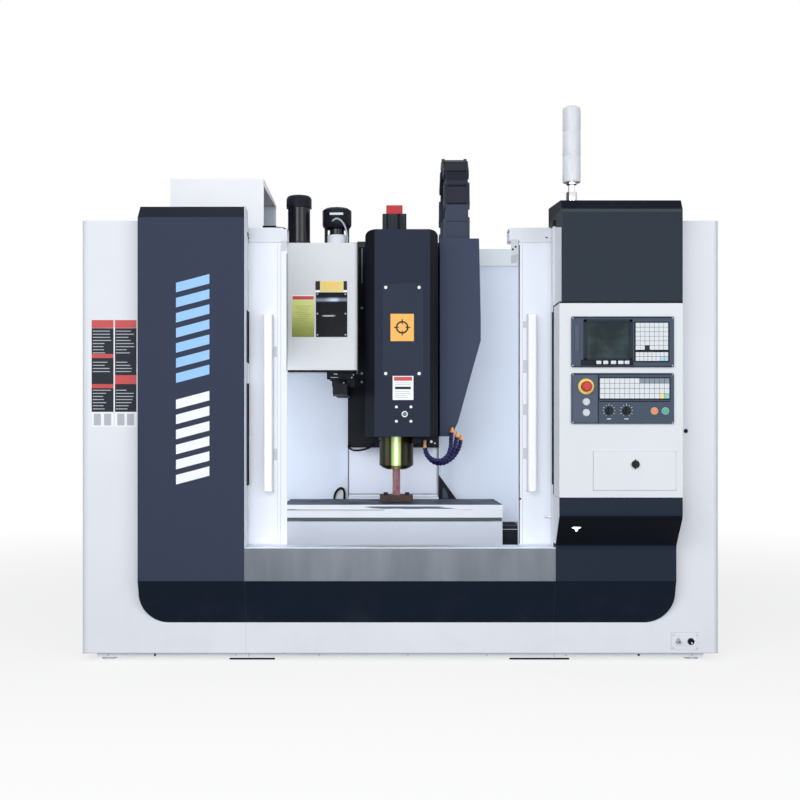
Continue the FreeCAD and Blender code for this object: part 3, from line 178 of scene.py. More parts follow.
class Paint(Tree):
    """One finish: a Principled surface and what varies over it."""

    def __init__(self, name, colour, roughness, **fixed):
        FINISHES[name] = bpy.data.materials.new(name)
        super().__init__(FINISHES[name])
        self.colour = colour
        self.surface = next(item for item in self.nodes if item.type == "BSDF_PRINCIPLED")
        self.surface.inputs["Base Color"].default_value = (*colour, 1)
        self.surface.inputs["Roughness"].default_value = roughness
        for word, value in fixed.items():
            self.surface.inputs[word.replace("_", " ")].default_value = value

    def feed(self, **varying):
        for word, value in varying.items():
            self.links.new(value.socket, self.surface.inputs[word.replace("_", " ")])

    def place(self, stretch=(1, 1, 1)):
        spot = self.add("TexCoord", output="Object")
        if stretch == (1, 1, 1):
            return spot
        return self.add("VectorMath", {"operation": "MULTIPLY"}, {0: spot, 1: stretch})

    def along(self, letter):
        return self.add("SeparateXYZ", {}, {0: self.place()}, letter)

    def noise(self, scale, detail=3.0, stretch=(1, 1, 1)):
        return self.add("TexNoise", {}, {"Vector": self.place(stretch), "Scale": scale,
                                         "Detail": detail})

    def shade(self, mask, first, second):
        """A colour that goes from the first to the second as the mask goes from 0 to 1."""
        pair = [item if isinstance(item, Signal) else (*item, 1) for item in (first, second)]
        return self.add("Mix", {"data_type": "RGBA"}, {0: mask, 6: pair[0], 7: pair[1]}, 2)

    def toned(self, factor):
        return tuple(min(1, part * factor) for part in self.colour)

    def banded(self, body, bands):
        """The body colour with stretches of other colours: (start, end, colour), up Z or
        along the axis whose letter comes last."""
        for start, end, colour, *letter in bands:
            reach = self.along(*letter or "Z")
            inside = (reach.rise(start - SPRAY, start + SPRAY)
                      * (1 - reach.rise(end - SPRAY, end + SPRAY)))
            body = self.shade(inside, body, colour)
        return body

    def bump(self, height, depth, strength=1.0):
        self.feed(Normal=self.add("Bump", {}, {"Height": height, "Distance": depth,
                                               "Strength": strength}))

    def edge(self, radius=0.004):
        """Near 1 along outer edges, 0 on the flats."""
        soft = self.add("Bevel", {"samples": 4}, {"Radius": radius})
        hard = self.add("NewGeometry", output="Normal")
        same = self.add("VectorMath", {"operation": "DOT_PRODUCT"}, {0: soft, 1: hard}, "Value")
        return (1 - same).rise(0.01, 0.2)


# ---- finishes

def powder_coat(name, colour, roughness=0.42, grain=420, dust=0.06, wear_and_highlight=1.25, bands=(),
                screws=(), **fixed):
    """Sprayed sheet metal: fine orange peel, a little dust low down, and lighter edges,
    partly rub wear and partly a painted highlight.

    A band is (start, end, the colour between them), up the height, or along another
    axis when its letter comes last; besides joints and two-tone paint, many bands are painted
    shade on folds, facets and sides. Screws are places along Y of rows of flush screws, one in each
    pitch of height.
    """
    paint = Paint(name, colour, roughness, **fixed)
    cloud = paint.noise(1.7, 4)
    peel = paint.noise(grain, 2)
    height = paint.along("Z")
    low = 1 - height.rise(0.02, 0.35)
    grime = low * paint.noise(9, 5).rise(0.45, 0.75) * dust
    body = paint.shade(cloud.rise(0.3, 0.7), paint.toned(0.955), colour)
    body = paint.banded(body, bands)
    for row in screws:
        up, across = height % SCREW_PITCH - SCREW_PITCH / 2, paint.along("Y") - row
        near = (up * up + across * across) ** 0.5
        body = paint.shade(1 - near.rise(0.005, 0.007), body, SCREW)
    body = paint.shade(grime, body, DUST)
    # lighter outer edges: partly rub wear, partly a painted highlight along the edges
    body = paint.shade(paint.edge() * 0.35, body, paint.toned(wear_and_highlight))
    paint.feed(Base_Color=body, Roughness=roughness + (peel - 0.5) * 0.12 + cloud * 0.05)
    paint.bump(peel, 0.00012, 0.6)


def brushed_metal(name, colour, roughness=0.32, stretch=(3, 400, 400), streaks=0.16, bands=()):
    """Metal with a grain drawn out along one direction."""
    paint = Paint(name, colour, roughness, Metallic=1.0)
    grain = paint.noise(1.0, 6, stretch)
    cloud = paint.noise(3.1, 4)
    tone = (grain * 0.75 + cloud * 0.25).rise(0.3, 0.7)
    body = paint.shade(tone, paint.toned(1 - streaks), paint.toned(1 + streaks))
    paint.feed(Base_Color=paint.banded(body, bands),
               Roughness=roughness + (grain - 0.5) * 0.22 + (cloud - 0.5) * 0.12)
    paint.bump(grain, 0.00008, 0.5)


def ground_iron(name, colour, ground_and_sheen, roughness=0.38, metallic=0.85):
    """Cast iron, milled and oiled on top; its ground sides pale, partly a painted reflection,
    with dark painted reflections streaked along the upper lip.
    """
    paint = Paint(name, colour, roughness, Metallic=metallic, Specular_IOR_Level=0.2)
    lines = paint.noise(1.0, 3, (500, 8, 500))
    stain = paint.noise(7, 6).rise(0.48, 0.72)
    body = paint.shade(lines.rise(0.3, 0.7), paint.toned(0.82), paint.toned(1.12))
    body = paint.shade(stain * 0.5, body, paint.toned(0.5))
    height = paint.along("Z")
    # pale sides: ground steel, made lighter by a painted reflection; the dark streaks on the lip
    # are painted reflections
    wave = paint.noise(2.2, 3, (1, 1, 24)).rise(0.35, 0.65)
    reflected_streak = (wave - height.rise(0.552, 0.562) * 0.6).rise(0.62, 0.9)
    lip = paint.shade(reflected_streak, ground_and_sheen, (0.09, 0.115, 0.17))
    side = paint.shade(height.rise(0.538, 0.541), ground_and_sheen, lip)
    paint.feed(Base_Color=paint.shade(height.rise(0.5625, 0.5645), side, body),
               Roughness=roughness + lines * 0.1 + stain * 0.15)
    paint.bump(lines, 0.00008, 0.4)


def cast_paint(name, colour, bands=()):
    """Thick enamel over rough castings, with stretches of other colours as for sheets."""
    paint = Paint(name, colour, 0.5)
    lumps = paint.noise(60, 5)
    cloud = paint.noise(2.3, 4)
    body = paint.banded(paint.shade(cloud.rise(0.3, 0.7), paint.toned(0.86), colour), bands)
    paint.feed(Base_Color=body, Roughness=0.4 + lumps * 0.25)
    paint.bump(lumps, 0.0012, 0.6)


def plastic(name, colour, roughness=0.4, grain=900, depth=0.00006, spread=0.1, **fixed):
    """Moulded plastic with a fine texture."""
    paint = Paint(name, colour, roughness, **fixed)
    fine = paint.noise(grain, 2)
    wear = paint.noise(13, 5).rise(0.45, 0.8)
    paint.feed(Base_Color=paint.shade(wear * 0.5, colour, paint.toned(1 + spread)),
               Roughness=roughness + (fine - 0.5) * 0.14 + wear * 0.06)
    paint.bump(fine, depth, 0.5)


def zinc_gold(name, across):
    """Yellow-passivated steel in a dark olive film, with a pale stripe down the front and
    back that is a painted highlight.
    """
    paint = Paint(name, (0.03, 0.028, 0.013), 0.34, Metallic=0.35, Specular_IOR_Level=0.2)
    drift = paint.noise(11, 4, (1, 1, 2.2))
    rings = paint.noise(1.0, 3, (2, 2, 700))
    film = paint.add("ValToRGB", {"stops": [
        (0.3, (0.01, 0.012, 0.003)), (0.46, (0.018, 0.021, 0.005)),
        (0.6, (0.02, 0.014, 0.006)), (0.75, (0.028, 0.013, 0.008))]}, {0: drift})
    # painted highlight: a pale stripe near the X given by across, golden low down, with a paler
    # core
    near = paint.add("Math", {"operation": "ABSOLUTE"}, {0: paint.along("X") - across})
    near = near + (rings - 0.5) * 0.004
    gold = 1 - paint.along("Z").rise(0.728, 0.742)
    gleam_colour = paint.shade(gold, (0.36, 0.52, 0.17), (0.56, 0.4, 0.06))
    film = paint.shade(1 - near.rise(0.018, 0.026), film, gleam_colour)
    film = paint.shade(1 - near.rise(0.004, 0.012), film, (0.7, 0.8, 0.5))
    paint.feed(Base_Color=film, Roughness=0.28 + rings * 0.16)
    paint.bump(rings, 0.00008, 0.4)


def rusty(name, colour, deep):
    """Raw steel bar or block with a coat of old primer and rust."""
    paint = Paint(name, colour, 0.7)
    patch = paint.noise(38, 6).rise(0.4, 0.66)
    pits = paint.noise(240, 4)
    paint.feed(Base_Color=paint.shade(patch, colour, deep), Roughness=0.6 + pits * 0.25)
    paint.bump(pits * 0.6 + patch * 0.4, 0.0006, 0.7)


def opal(name):
    """Milky lamp plastic that lets some light through."""
    paint = Paint(name, (0.72, 0.75, 0.81), 0.3, Subsurface_Weight=0.1, Subsurface_Scale=0.01)
    ribs = paint.along("Z") * 700
    wave = paint.add("Math", {"operation": "SINE"}, {0: ribs * 2})
    cloud = paint.noise(6, 3)
    body = paint.shade(cloud.rise(0.3, 0.7), (0.645, 0.67, 0.725), (0.7, 0.73, 0.785))
    paint.feed(Base_Color=body, Roughness=0.2 + cloud * 0.12)
    paint.bump(wave, 0.0003, 0.25)


def window_glass(name):
    """A clear pane with faint smears."""
    paint = Paint(name, (0.62, 0.68, 0.7), 0.04, IOR=1.5, Alpha=0.35)
    smear = paint.noise(5, 5, (1, 1, 0.4)).rise(0.45, 0.8)
    paint.feed(Roughness=0.03 + smear * 0.12, Alpha=0.3 + smear * 0.12)


def dark_glass(name, colour):
    """A switched-off display: deep colour, clear gloss, fingerprints."""
    paint = Paint(name, colour, 0.08, Specular_IOR_Level=0.2)
    smear = paint.noise(16, 5).rise(0.45, 0.75)
    cloud = paint.noise(9, 2, (1, 1, 1.6)).rise(0.35, 0.7)
    paint.feed(Base_Color=paint.shade(cloud, paint.toned(0.7), paint.toned(1.5)),
               Roughness=0.06 + smear * 0.16)


def sight_glass(name):
    """A smoked pane with two milky lines near its top, painted reflections of glare."""
    paint = Paint(name, (0.004, 0.005, 0.008), 0.2, Specular_IOR_Level=0.08)
    smear = paint.noise(9, 4, (1, 1, 0.5))
    up = paint.along("Z") + (smear - 0.5) * 0.006
    right = paint.along("X")
    # painted reflections: a wide glare band near the top, brightest at one spot, and a fine glint
    # line below it
    glare_band = up.rise(1.492, 1.502) * (1 - up.rise(1.504, 1.518))
    fine = (up.rise(1.426, 1.43) * (1 - up.rise(1.431, 1.436))
            * right.rise(-0.352, -0.335) * (1 - right.rise(-0.3, -0.281)))
    spot = right.rise(-0.345, -0.292) * (1 - right.rise(-0.285, -0.262))
    body = paint.shade(glare_band * (0.35 + spot * 0.65), paint.colour, (0.6, 0.7, 0.92))
    paint.feed(Base_Color=paint.shade(fine * 0.85, body, (0.62, 0.66, 0.74)),
               Roughness=0.16 + smear * 0.2)


def gradient_label(name, low_colour, high_colour, low, high):
    """A printed film that goes from one colour to another up its height."""
    paint = Paint(name, high_colour, 0.35)
    cloud = paint.noise(30, 3)
    up = (paint.along("Z") + (cloud - 0.5) * 0.03).rise(low, high)
    paint.feed(Base_Color=paint.shade(up, low_colour, high_colour), Roughness=0.3 + cloud * 0.15)


def mix(maker, *rows, **fixed):
    """One finish for each row: its name, its colour and what else its maker takes."""
    for row in rows:
        maker(*row, **fixed)


MATT, SATIN = {"Specular_IOR_Level": 0.1}, {"Specular_IOR_Level": 0.3}
# the two darkest colours here: painted shade for facets of the dark cladding and foot
FACET_SHADE, DEEPEST_FACET_SHADE = (0.004, 0.009, 0.019), (0.001, 0.002, 0.006)
SHADED, JOINT = (0.61, 0.65, 0.7), (0.24, 0.25, 0.27)

# the two greyer bands along X are painted shade on the rounded side folds of the white panels
powder_coat("white_coat", (0.765, 0.795, 0.855), 0.5, **SATIN,
            bands=[(-1.26, -1.226, (0.7, 0.745, 0.78), "X"),
                   (1.23, 1.26, (0.66, 0.7, 0.75), "X")])
powder_coat("side_coat", (0.765, 0.795, 0.855), 0.5, **SATIN, screws=(-0.4, -0.34, 0.065, 0.125),
            bands=[(-0.3725, -0.3675, JOINT, "Y"), (0.0925, 0.0975, JOINT, "Y"),
                   (0.158, 0.163, JOINT)])
mix(powder_coat,
    ("column_coat", (0.72, 0.755, 0.795), 0.5),
    # the door paint is a lighter copy of the white paint: painted light on doors that sit in shade
    ("door_coat", (0.825, 0.865, 0.95), 0.5),
    ("store_coat", (0.79, 0.81, 0.845), 0.5), **SATIN)
mix(powder_coat,
    ("wall_coat", (0.615, 0.69, 0.815)),
    # the left rear wall's paint is a lighter copy of the wall paint: painted light
    ("back_left_coat", (0.7, 0.775, 0.915)), bands=[(1.748, 2, SHADED)])
mix(powder_coat,
    # a darker copy of the white paint: painted shade on white sheets that stand in shade
    ("pale_coat", (0.7, 0.735, 0.8), 0.5),
    # a pale lilac sheet for the inside of the tool store: painted light
    ("lilac_coat", (0.76, 0.85, 0.97), 0.5),
    ("apron_coat", (0.57, 0.61, 0.7), 0.4, 700),
    ("cover_sheet", (0.745, 0.8, 0.93), 0.35, 300),
    ("cover_grey", (0.635, 0.66, 0.69), 0.5),
    ("mark_blue", (0.26, 0.52, 0.93), 0.4, 900),
    ("mark_white", (0.84, 0.87, 0.9), 0.4, 900),
    ("mark_grey", (0.42, 0.45, 0.5), 0.5, 900),
    ("field_red", (0.52, 0.035, 0.035), 0.4, 900),
    ("field_orange", (0.9, 0.43, 0.07), 0.4, 900),
    ("field_yellow", (0.74, 0.62, 0.2), 0.4, 900),
    ("ghost_grey", (0.56, 0.59, 0.65), 0.5, 900),
    ("fold_grey", (0.08, 0.095, 0.105), 0.5, 900),
    ("label_olive", (0.3, 0.34, 0.05), 0.5, 900))
mix(powder_coat,
    # slate bands: painted shade on the lower fold and the top facet of the dark cladding
    ("slate_coat", (0.034, 0.044, 0.077), 0.55, 700, 0.05, 1.5,
     [(-1, 0.319, FACET_SHADE), (1.727, 2.0, (0.004, 0.008, 0.018))]),
    # graphite band: painted shade on the top facet of the control head box
    ("graphite_coat", (0.024, 0.033, 0.045), 0.55, 700, 0.0, 1.5,
     [(1.742, 2.0, (0.001, 0.003, 0.009))]),
    # foot bands: painted shade on the lower fold and on the downward slant of the column's foot
    ("foot_coat", (0.013, 0.021, 0.037), 0.55, 700, 0.05, 1.5,
     [(-1, 0.319, FACET_SHADE), (0.457, 0.578, DEEPEST_FACET_SHADE)]),
    # head bands along X: painted shade on the side chamfers of the head cover
    ("head_coat", (0.019, 0.025, 0.045), 0.5, 700, 0.0, 1.5,
     [(-1, -0.106, (0.005, 0.007, 0.013), "X"), (0.148, 1, (0.002, 0.003, 0.006), "X")]),
    ("head_panel_coat", (0.026, 0.034, 0.056), 0.5, 700, 0.0, 1.5),
    ("duct_coat", (0.043, 0.056, 0.095), 0.5, 700, 0.0, 1.5),
    ("black_coat", (0.01, 0.012, 0.018), 0.5, 500, 0.1, 1.8),
    ("field_dark", (0.022, 0.026, 0.036), 0.4, 900),
    ("fold_dark", (0.045, 0.056, 0.066), 0.5, 900, 0.0, 1.5),
    # servo stripes along X: two darker vertical stripes of painted shade on the motor body; the top
    # band is its red cap
    ("servo_coat", (0.034, 0.044, 0.056), 0.5, 500, 0.0, 1.5,
     [(-0.049, -0.039, (0.004, 0.005, 0.008), "X"), (0.006, 0.023, (0.004, 0.005, 0.008), "X"),
      (2.0185, 3, (0.6, 0.062, 0.075))]),
    # chain bands: the upper runs painted darker, painted shade
    ("chain_black", (0.044, 0.054, 0.086), 0.5, 500, 0.0, 1.7,
     [(1.98, 2.1, (0.022, 0.025, 0.036)), (2.1, 3, (0.009, 0.011, 0.018))]), **MATT)
mix(cast_paint,
    ("casting", (0.32, 0.35, 0.38)),
    ("column_iron", (0.32, 0.35, 0.38), [(1.795, 1.9, (0.006, 0.007, 0.01))]))
mix(brushed_metal,
    # sill: its top lip painted pale, a painted reflection of the bright surroundings
    ("sill_steel", (0.104, 0.115, 0.133), 0.42, (9, 30, 1.6), 0.24,
     [(0.4465, 1, (0.7, 0.74, 0.8))]),
    ("sheet_steel", (0.66, 0.68, 0.71), 0.34, (300, 300, 3)),
    ("nose_steel", (0.17, 0.145, 0.06), 0.34, (2, 2, 600)),
    ("chrome", (0.8, 0.81, 0.83), 0.12, (200, 200, 200), 0.05),
    # pole bands along X: a dark and a light stripe, painted reflections on the chrome
    ("pole_chrome", (0.8, 0.81, 0.83), 0.12, (200, 200, 200), 0.05,
     [(0.63, 0.643, (0.1, 0.09, 0.14), "X"), (0.668, 0.68, (0.5, 0.5, 0.53), "X")]),
    ("alloy", (0.66, 0.67, 0.69), 0.36, (2, 220, 220), 0.1))
ground_iron("table_iron", (0.014, 0.031, 0.06), (0.68, 0.715, 0.765), 0.42, 0.1)
zinc_gold("zinc_gold", -0.006)
mix(rusty,
    ("prop_brown", (0.058, 0.026, 0.017), (0.028, 0.016, 0.013)),
    ("prop_pink", (0.3, 0.135, 0.175), (0.19, 0.075, 0.09)))
opal("lamp_opal")
window_glass("pane")
sight_glass("sight_glass")
dark_glass("display", (0.02, 0.036, 0.042))
gradient_label("label_green", (0.17, 0.205, 0.02), (0.6, 0.65, 0.2), 1.325, 1.49)
mix(plastic,
    ("unit_grey", (0.062, 0.084, 0.123), 0.5),
    ("unit_edge", (0.02, 0.027, 0.038)),
    ("unit_dark", (0.008, 0.01, 0.016)),
    ("unit_blue", (0.088, 0.107, 0.155), 0.5),
    ("motor_black", (0.01, 0.012, 0.018), 0.42),
    ("rubber_black", (0.006, 0.007, 0.01), 0.6, 300, 0.0002), **MATT)
mix(plastic,
    ("button_red", (0.52, 0.026, 0.024), 0.3),
    ("button_white", (0.56, 0.6, 0.64), 0.35), **SATIN)
mix(plastic,
    ("hose_orange", (0.72, 0.26, 0.03), 0.34),
    ("handle_white", (0.9, 0.91, 0.93), 0.3),
    ("button_yellow", (0.76, 0.6, 0.11), 0.35),
    ("button_orange", (0.78, 0.2, 0.03), 0.3),
    ("button_green", (0.02, 0.36, 0.25), 0.3),
    ("button_teal", (0.012, 0.095, 0.085), 0.3),
    ("valve_brass", (0.66, 0.38, 0.15), 0.34),
    ("key_white", (0.66, 0.7, 0.74), 0.45),
    ("key_yellow", (0.74, 0.7, 0.26), 0.45),
    ("key_teal", (0.24, 0.58, 0.54), 0.45),
    ("key_grey", (0.2, 0.235, 0.3), 0.45),
    ("key_blue", (0.4, 0.62, 0.74), 0.45))
plastic("hose_navy", (0.01, 0.01, 0.07), 0.34, Specular_IOR_Level=0.25)
plastic("knob_black", (0.008, 0.009, 0.012), 0.35, Specular_IOR_Level=0.15)
plastic("motor_gloss", (0.008, 0.01, 0.016), 0.2, Specular_IOR_Level=0.35)

# each row: a finish and the nodes that have it
NODE_FINISH = """
white_coat left_front_panel lower_front_panel right_front_panel electrical_cabinet plinth_frame
side_coat left_wall right_wall
column_coat control_column storage_flap
door_coat left_door right_door
store_coat magazine_box
slate_coat left_dark_panel lower_dark_band
graphite_coat control_head_box
foot_coat control_foot_box
pale_coat left_rail_cover right_rail_cover
wall_coat rear_wall_right
back_left_coat rear_wall_left
apron_coat saddle_apron
black_coat head_slide atc_arm
head_coat head_cover
duct_coat duct_cover
cover_grey atc_housing
casting machine_base saddle
column_iron column
sill_steel sill
cover_sheet z_cover_upper z_cover_middle z_cover_fixed
nose_steel spindle
alloy magazine_disc
table_iron table
zinc_gold spindle_housing
prop_brown prop_block
prop_pink prop_bar
lamp_opal signal_lamp
pane left_door_glass right_door_glass
unit_grey screen_unit operator_panel
servo_coat z_motor
motor_black atc_drive_motor atc_fan_motor
chain_black cable_chain
hose_navy coolant_hoses
handle_white left_door_handle right_door_handle
button_red stop_button
button_white power_on_button power_off_button
button_orange start_button
button_green hold_button
button_teal tool_release_button
knob_black feed_knob speed_knob flap_lock
"""


def rows_of(table):
    """The words of each row of a table."""
    return [row.split() for row in table.strip().split("\n")]


def finish_nodes():
    for finish, *names in rows_of(NODE_FINISH):
        for name in names:
            for slot in nodes[name].material_slots:
                slot.material = FINISHES[finish]


# ---- drawing

# each row: a slot of the record and the finishes of pieces that stand for it
SLOT_FINISHES = """
white_panel white_coat pale_coat store_coat
dark_panel slate_coat
head_paint head_panel_coat
black_paint black_coat
wall_paint wall_coat
cover_steel sheet_steel cover_sheet
spindle_steel chrome pole_chrome
motor_black motor_black
knob_black rubber_black
hose_navy hose_navy
button_orange hose_orange button_yellow
lamp_opal lamp_opal
unit_grey unit_grey
button_white key_white
handle_white handle_white
pane sight_glass
zinc_gold valve_brass
"""
RECORD_SLOT = {finish: slot for slot, *names in rows_of(SLOT_FINISHES) for finish in names}
BOX_FACES = ((0, 1, 3, 2), (4, 6, 7, 5), (0, 4, 5, 1), (2, 3, 7, 6), (0, 2, 6, 4), (1, 5, 7, 3))
SHARP = math.radians(35)        # edges that turn more than this stay crisp
SUNK = 0.5                      # how far a piece on a face reaches into it


def flowing(points, steps=8):
    """A finer line, smooth through the given points."""
    path = [Vector(point) for point in points]
    path = [path[0] * 2 - path[1], *path, path[-1] * 2 - path[-2]]
    line = []
    for before, start, end, after in zip(path, path[1:], path[2:], path[3:]):
        for step in range(steps):
            t = step / steps
            line.append(0.5 * (2 * start + (end - before) * t
                               + (2 * before - 5 * start + 4 * end - after) * t ** 2
                               + (3 * start - before - 3 * end + after) * t ** 3))
    return [*line, path[-2]]


def evenly(line, gap):
    """Points a fixed distance apart along a line."""
    found, left = [line[0]], gap
    for start, end in zip(line, line[1:]):
        run = (end - start).length
        while left <= run:
            found.append(start.lerp(end, left / run))
            left += gap
        left -= run
    return found


def spoke(x, z, angle, near, far, half):
    """The outline of a short bar that points away from a centre."""
    across, up = math.cos(angle), math.sin(angle)
    return [(x + across * reach + up * side, z + up * reach - across * side)
            for reach, side in ((near, -half), (far, -half), (far, half), (near, half))]


class Form:
    """A mesh in the making, drawn in millimetres."""

    def __init__(self):
        self.mesh = bmesh.new()

    def grow(self, corners, faces):
        """New corners, and faces that name them by their place in the list."""
        made = [self.mesh.verts.new(corner) for corner in corners]
        return [self.mesh.faces.new([made[place] for place in face]) for face in faces]

    def soften(self, faces, radius, steps=2):
        if radius:
            edges = dict.fromkeys(edge for face in faces for edge in face.edges)
            bmesh.ops.bevel(self.mesh, geom=list(edges), offset=radius, segments=steps,
                            profile=0.5, affect="EDGES")

    def blocks(self, radius, *boxes, steps=2):
        """Boxes with rounded edges, each given as its low corner and then its high one."""
        for box in boxes:
            corners = list(product(*zip(box[:3], box[3:])))
            self.soften(self.grow(corners, BOX_FACES), radius, steps)
        return self

    def tiles(self, face, proud, *areas, radius=0.0):
        """Thin pieces (left, right, low, high) on a face that looks to the front."""
        return self.blocks(radius, *((left, face - proud, low, right, face + SUNK, high)
                                     for left, right, low, high in areas), steps=1)

    def plate(self, outline, near, far, across="Y", radius=0.0):
        """An outline swept between two depths along an axis."""
        count = len(outline)
        place = {"X": lambda a, b, c: (c, a, b), "Y": lambda a, b, c: (a, c, b)}[across]
        corners = [place(a, b, depth) for depth in (near, far) for a, b in outline]
        ends = [tuple(range(count)), tuple(range(count, 2 * count))]
        sides = [(i, (i + 1) % count, (i + 1) % count + count, i + count) for i in range(count)]
        self.soften(self.grow(corners, ends + sides)[:2], radius)
        return self

    def join(self, one, two):
        """Faces between two rings of corners; a ring of one corner is a tip."""
        for i in range(max(len(one), len(two))):
            corners = [one[i % len(one)], one[(i + 1) % len(one)],
                       two[(i + 1) % len(two)], two[i % len(two)]]
            self.mesh.faces.new(list(dict.fromkeys(corners)))

    def turned(self, profile, centre, along="Z", sides=32):
        """Pairs of (radius, distance) spun about an axis through the centre."""
        first, second, third = {"X": (1, 2, 0), "Y": (0, 2, 1), "Z": (0, 1, 2)}[along]
        rings = []
        for radius, distance in profile:
            ring = []
            for step in range(sides if radius else 1):
                angle = math.tau * step / sides
                spot = Vector(centre)
                spot[first] += radius * math.cos(angle)
                spot[second] += radius * math.sin(angle)
                spot[third] += distance
                ring.append(self.mesh.verts.new(spot))
            rings.append(ring)
        for one, two in zip(rings, rings[1:]):
            self.join(one, two)
        return self

    def tube(self, line, radii, sides=12):
        """A round tube along a line of points; radii is one number or one for each point."""
        if not isinstance(radii, list):
            radii = [radii] * len(line)
        side, rings = None, []
        for place, point in enumerate(line):
            ahead = (line[min(place + 1, len(line) - 1)] - line[max(place - 1, 0)]).normalized()
            side = ahead.orthogonal() if side is None else side - ahead * side.dot(ahead)
            side.normalize()
            other = ahead.cross(side)
            turns = [math.tau * step / sides for step in range(sides)]
            rings.append([self.mesh.verts.new(point + radii[place] * (
                side * math.cos(turn) + other * math.sin(turn))) for turn in turns])
        for one, two in zip(rings, rings[1:]):
            self.join(one, two)
        for end in (rings[0], rings[-1]):
            self.mesh.faces.new(end)
        return self

    def screws(self, face, across, proud, spots):
        """Round screw heads with their sockets, at (x, z) on a face that looks to the front."""
        r = across / 2
        for x, z in spots:
            self.turned([(0, -proud * 0.3), (r * 0.42, -proud * 0.3), (r * 0.48, -proud),
                         (r * 0.8, -proud), (r, -proud * 0.6), (r, SUNK), (0, SUNK)],
                        (x, face, z), "Y", 20)
        return self

    def piece(self, name, finish, body="machine", *stands_for):
        """The drawing becomes an object with its finish, and rides on its body."""
        bmesh.ops.recalc_face_normals(self.mesh, faces=self.mesh.faces[:])
        bmesh.ops.scale(self.mesh, vec=(MM, MM, MM), verts=self.mesh.verts)
        mesh = bpy.data.meshes.new(name)
        self.mesh.to_mesh(mesh)
        self.mesh.free()
        mesh.materials.append(FINISHES[finish])
        mesh.shade_smooth()
        mesh.set_sharp_from_angle(angle=SHARP)
        thing = stand(name, mesh)
        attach(thing, body)
        finish in RECORD_SLOT
        if stands_for:
            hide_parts(*stands_for)


def spun(name, finish, profile, centres, along="Z", sides=32, body="machine", *stands_for):
    """A piece of turned parts, the same one at each centre."""
    form = Form()
    for centre in centres:
        form.turned(profile, centre, along, sides)
    form.piece(name, finish, body, *stands_for)


def tiles(name, finish, face, proud, *areas, body="machine", radius=0.0):
    """A piece of thin tiles (left, right, low, high) on a face that looks to the front."""
    Form().tiles(face, proud, *areas, radius=radius).piece(name, finish, body)


def blocks(name, finish, radius, *boxes, body="machine"):
    """A piece of boxes, each given as its low corner and then its high one."""
    Form().blocks(radius, *boxes).piece(name, finish, body)


# ---- enclosure

FRONT = -900        # the faces that look to the front: the white front panels
SLAB = -960         # the dark cladding
PLINTH = -885       # the recessed base frame
COLUMN = -1055      # the control column
UNIT = -1063        # the control units
KEY_BED = -1064.5   # the beds of their keys
DOOR = -835         # the sliding doors
HEAD = -134         # the head cover
HEAD_PLATE = HEAD - 1.2
LABEL = HEAD - 1.8
ATC = -120          # the tool changer's housing


def signal_tower():
    """An opal tower of three sections on a chromed pole."""
    at = [(655, -1000, 0)]
    spun("tower_lenses", "lamp_opal",
         [(0, 1852), (33, 1852), (34.5, 1856), (34.5, 1946), (33.4, 1948), (33.4, 1951),
          (34.5, 1953), (34.5, 2041), (33.4, 2043), (33.4, 2046), (34.5, 2048), (34.5, 2128),
          (32, 2137), (24, 2142), (0, 2142)], at, "Z", 48, "machine", "signal_lamp")
    spun("tower_pole", "pole_chrome",
         [(0, 1779), (21, 1779), (21, 1811), (19, 1815), (13.5, 1817), (13.5, 1840), (20, 1844),
          (20, 1853), (0, 1853)], at, "Z", 40, "machine", "signal_lamp")


def slab_stripes():
    """Two runs of slanted bars down the dark cladding, light blue over white."""
    left, right, lean, gap = -869, -740, 34, 22
    for colour, low, high, count in (("blue", 1086, 1507, 7), ("white", 693, 1055, 6)):
        form = Form()
        pitch = (high - low - lean + gap) / count
        for step in range(count):
            foot = low + step * pitch
            top = foot + pitch - gap
            form.plate([(left, foot), (right, foot + lean), (right, top + lean), (left, top)],
                       SLAB - 0.8, SLAB + SUNK)
        form.piece("stripes_" + colour, "mark_" + colour)


def notices():
    """Dark fields on the left panel with red bands, pale feet and rules, and no words."""
    for number, left, right, reds in (
            (1, -1210.5, -1125, ((1304, 1335), (1186, 1202), (1068, 1084))),
            (2, -1119, -1035, ((1304, 1335), (1084, 1119)))):
        bands = [(916, 974, "mark_white", 0.7), (975, 1303, "field_dark", 0.6),
                 *((low, high, "field_red", 0.7) for low, high in reds)]
        for place, (low, high, finish, proud) in enumerate(bands):
            tiles(f"notice_{number}_{place}", finish, FRONT, proud, (left, right, low, high))
    form = Form()
    draw = random.Random(4)
    for left, step in product((-1206, -1115), range(26)):
        low = 985 + step * 12.2
        if not (1066 < low < 1120 or 1180 < low < 1204):
            form.tiles(FRONT, 0.8, (left, left + draw.uniform(38, 74), low, low + 3.2))
    form.piece("notice_lines", "mark_grey")
    tiles("notice_feet", "mark_grey", FRONT, 0.9,
          *((left, left + 28, 922, 968) for left in (-1202, -1162, -1110, -1072)))


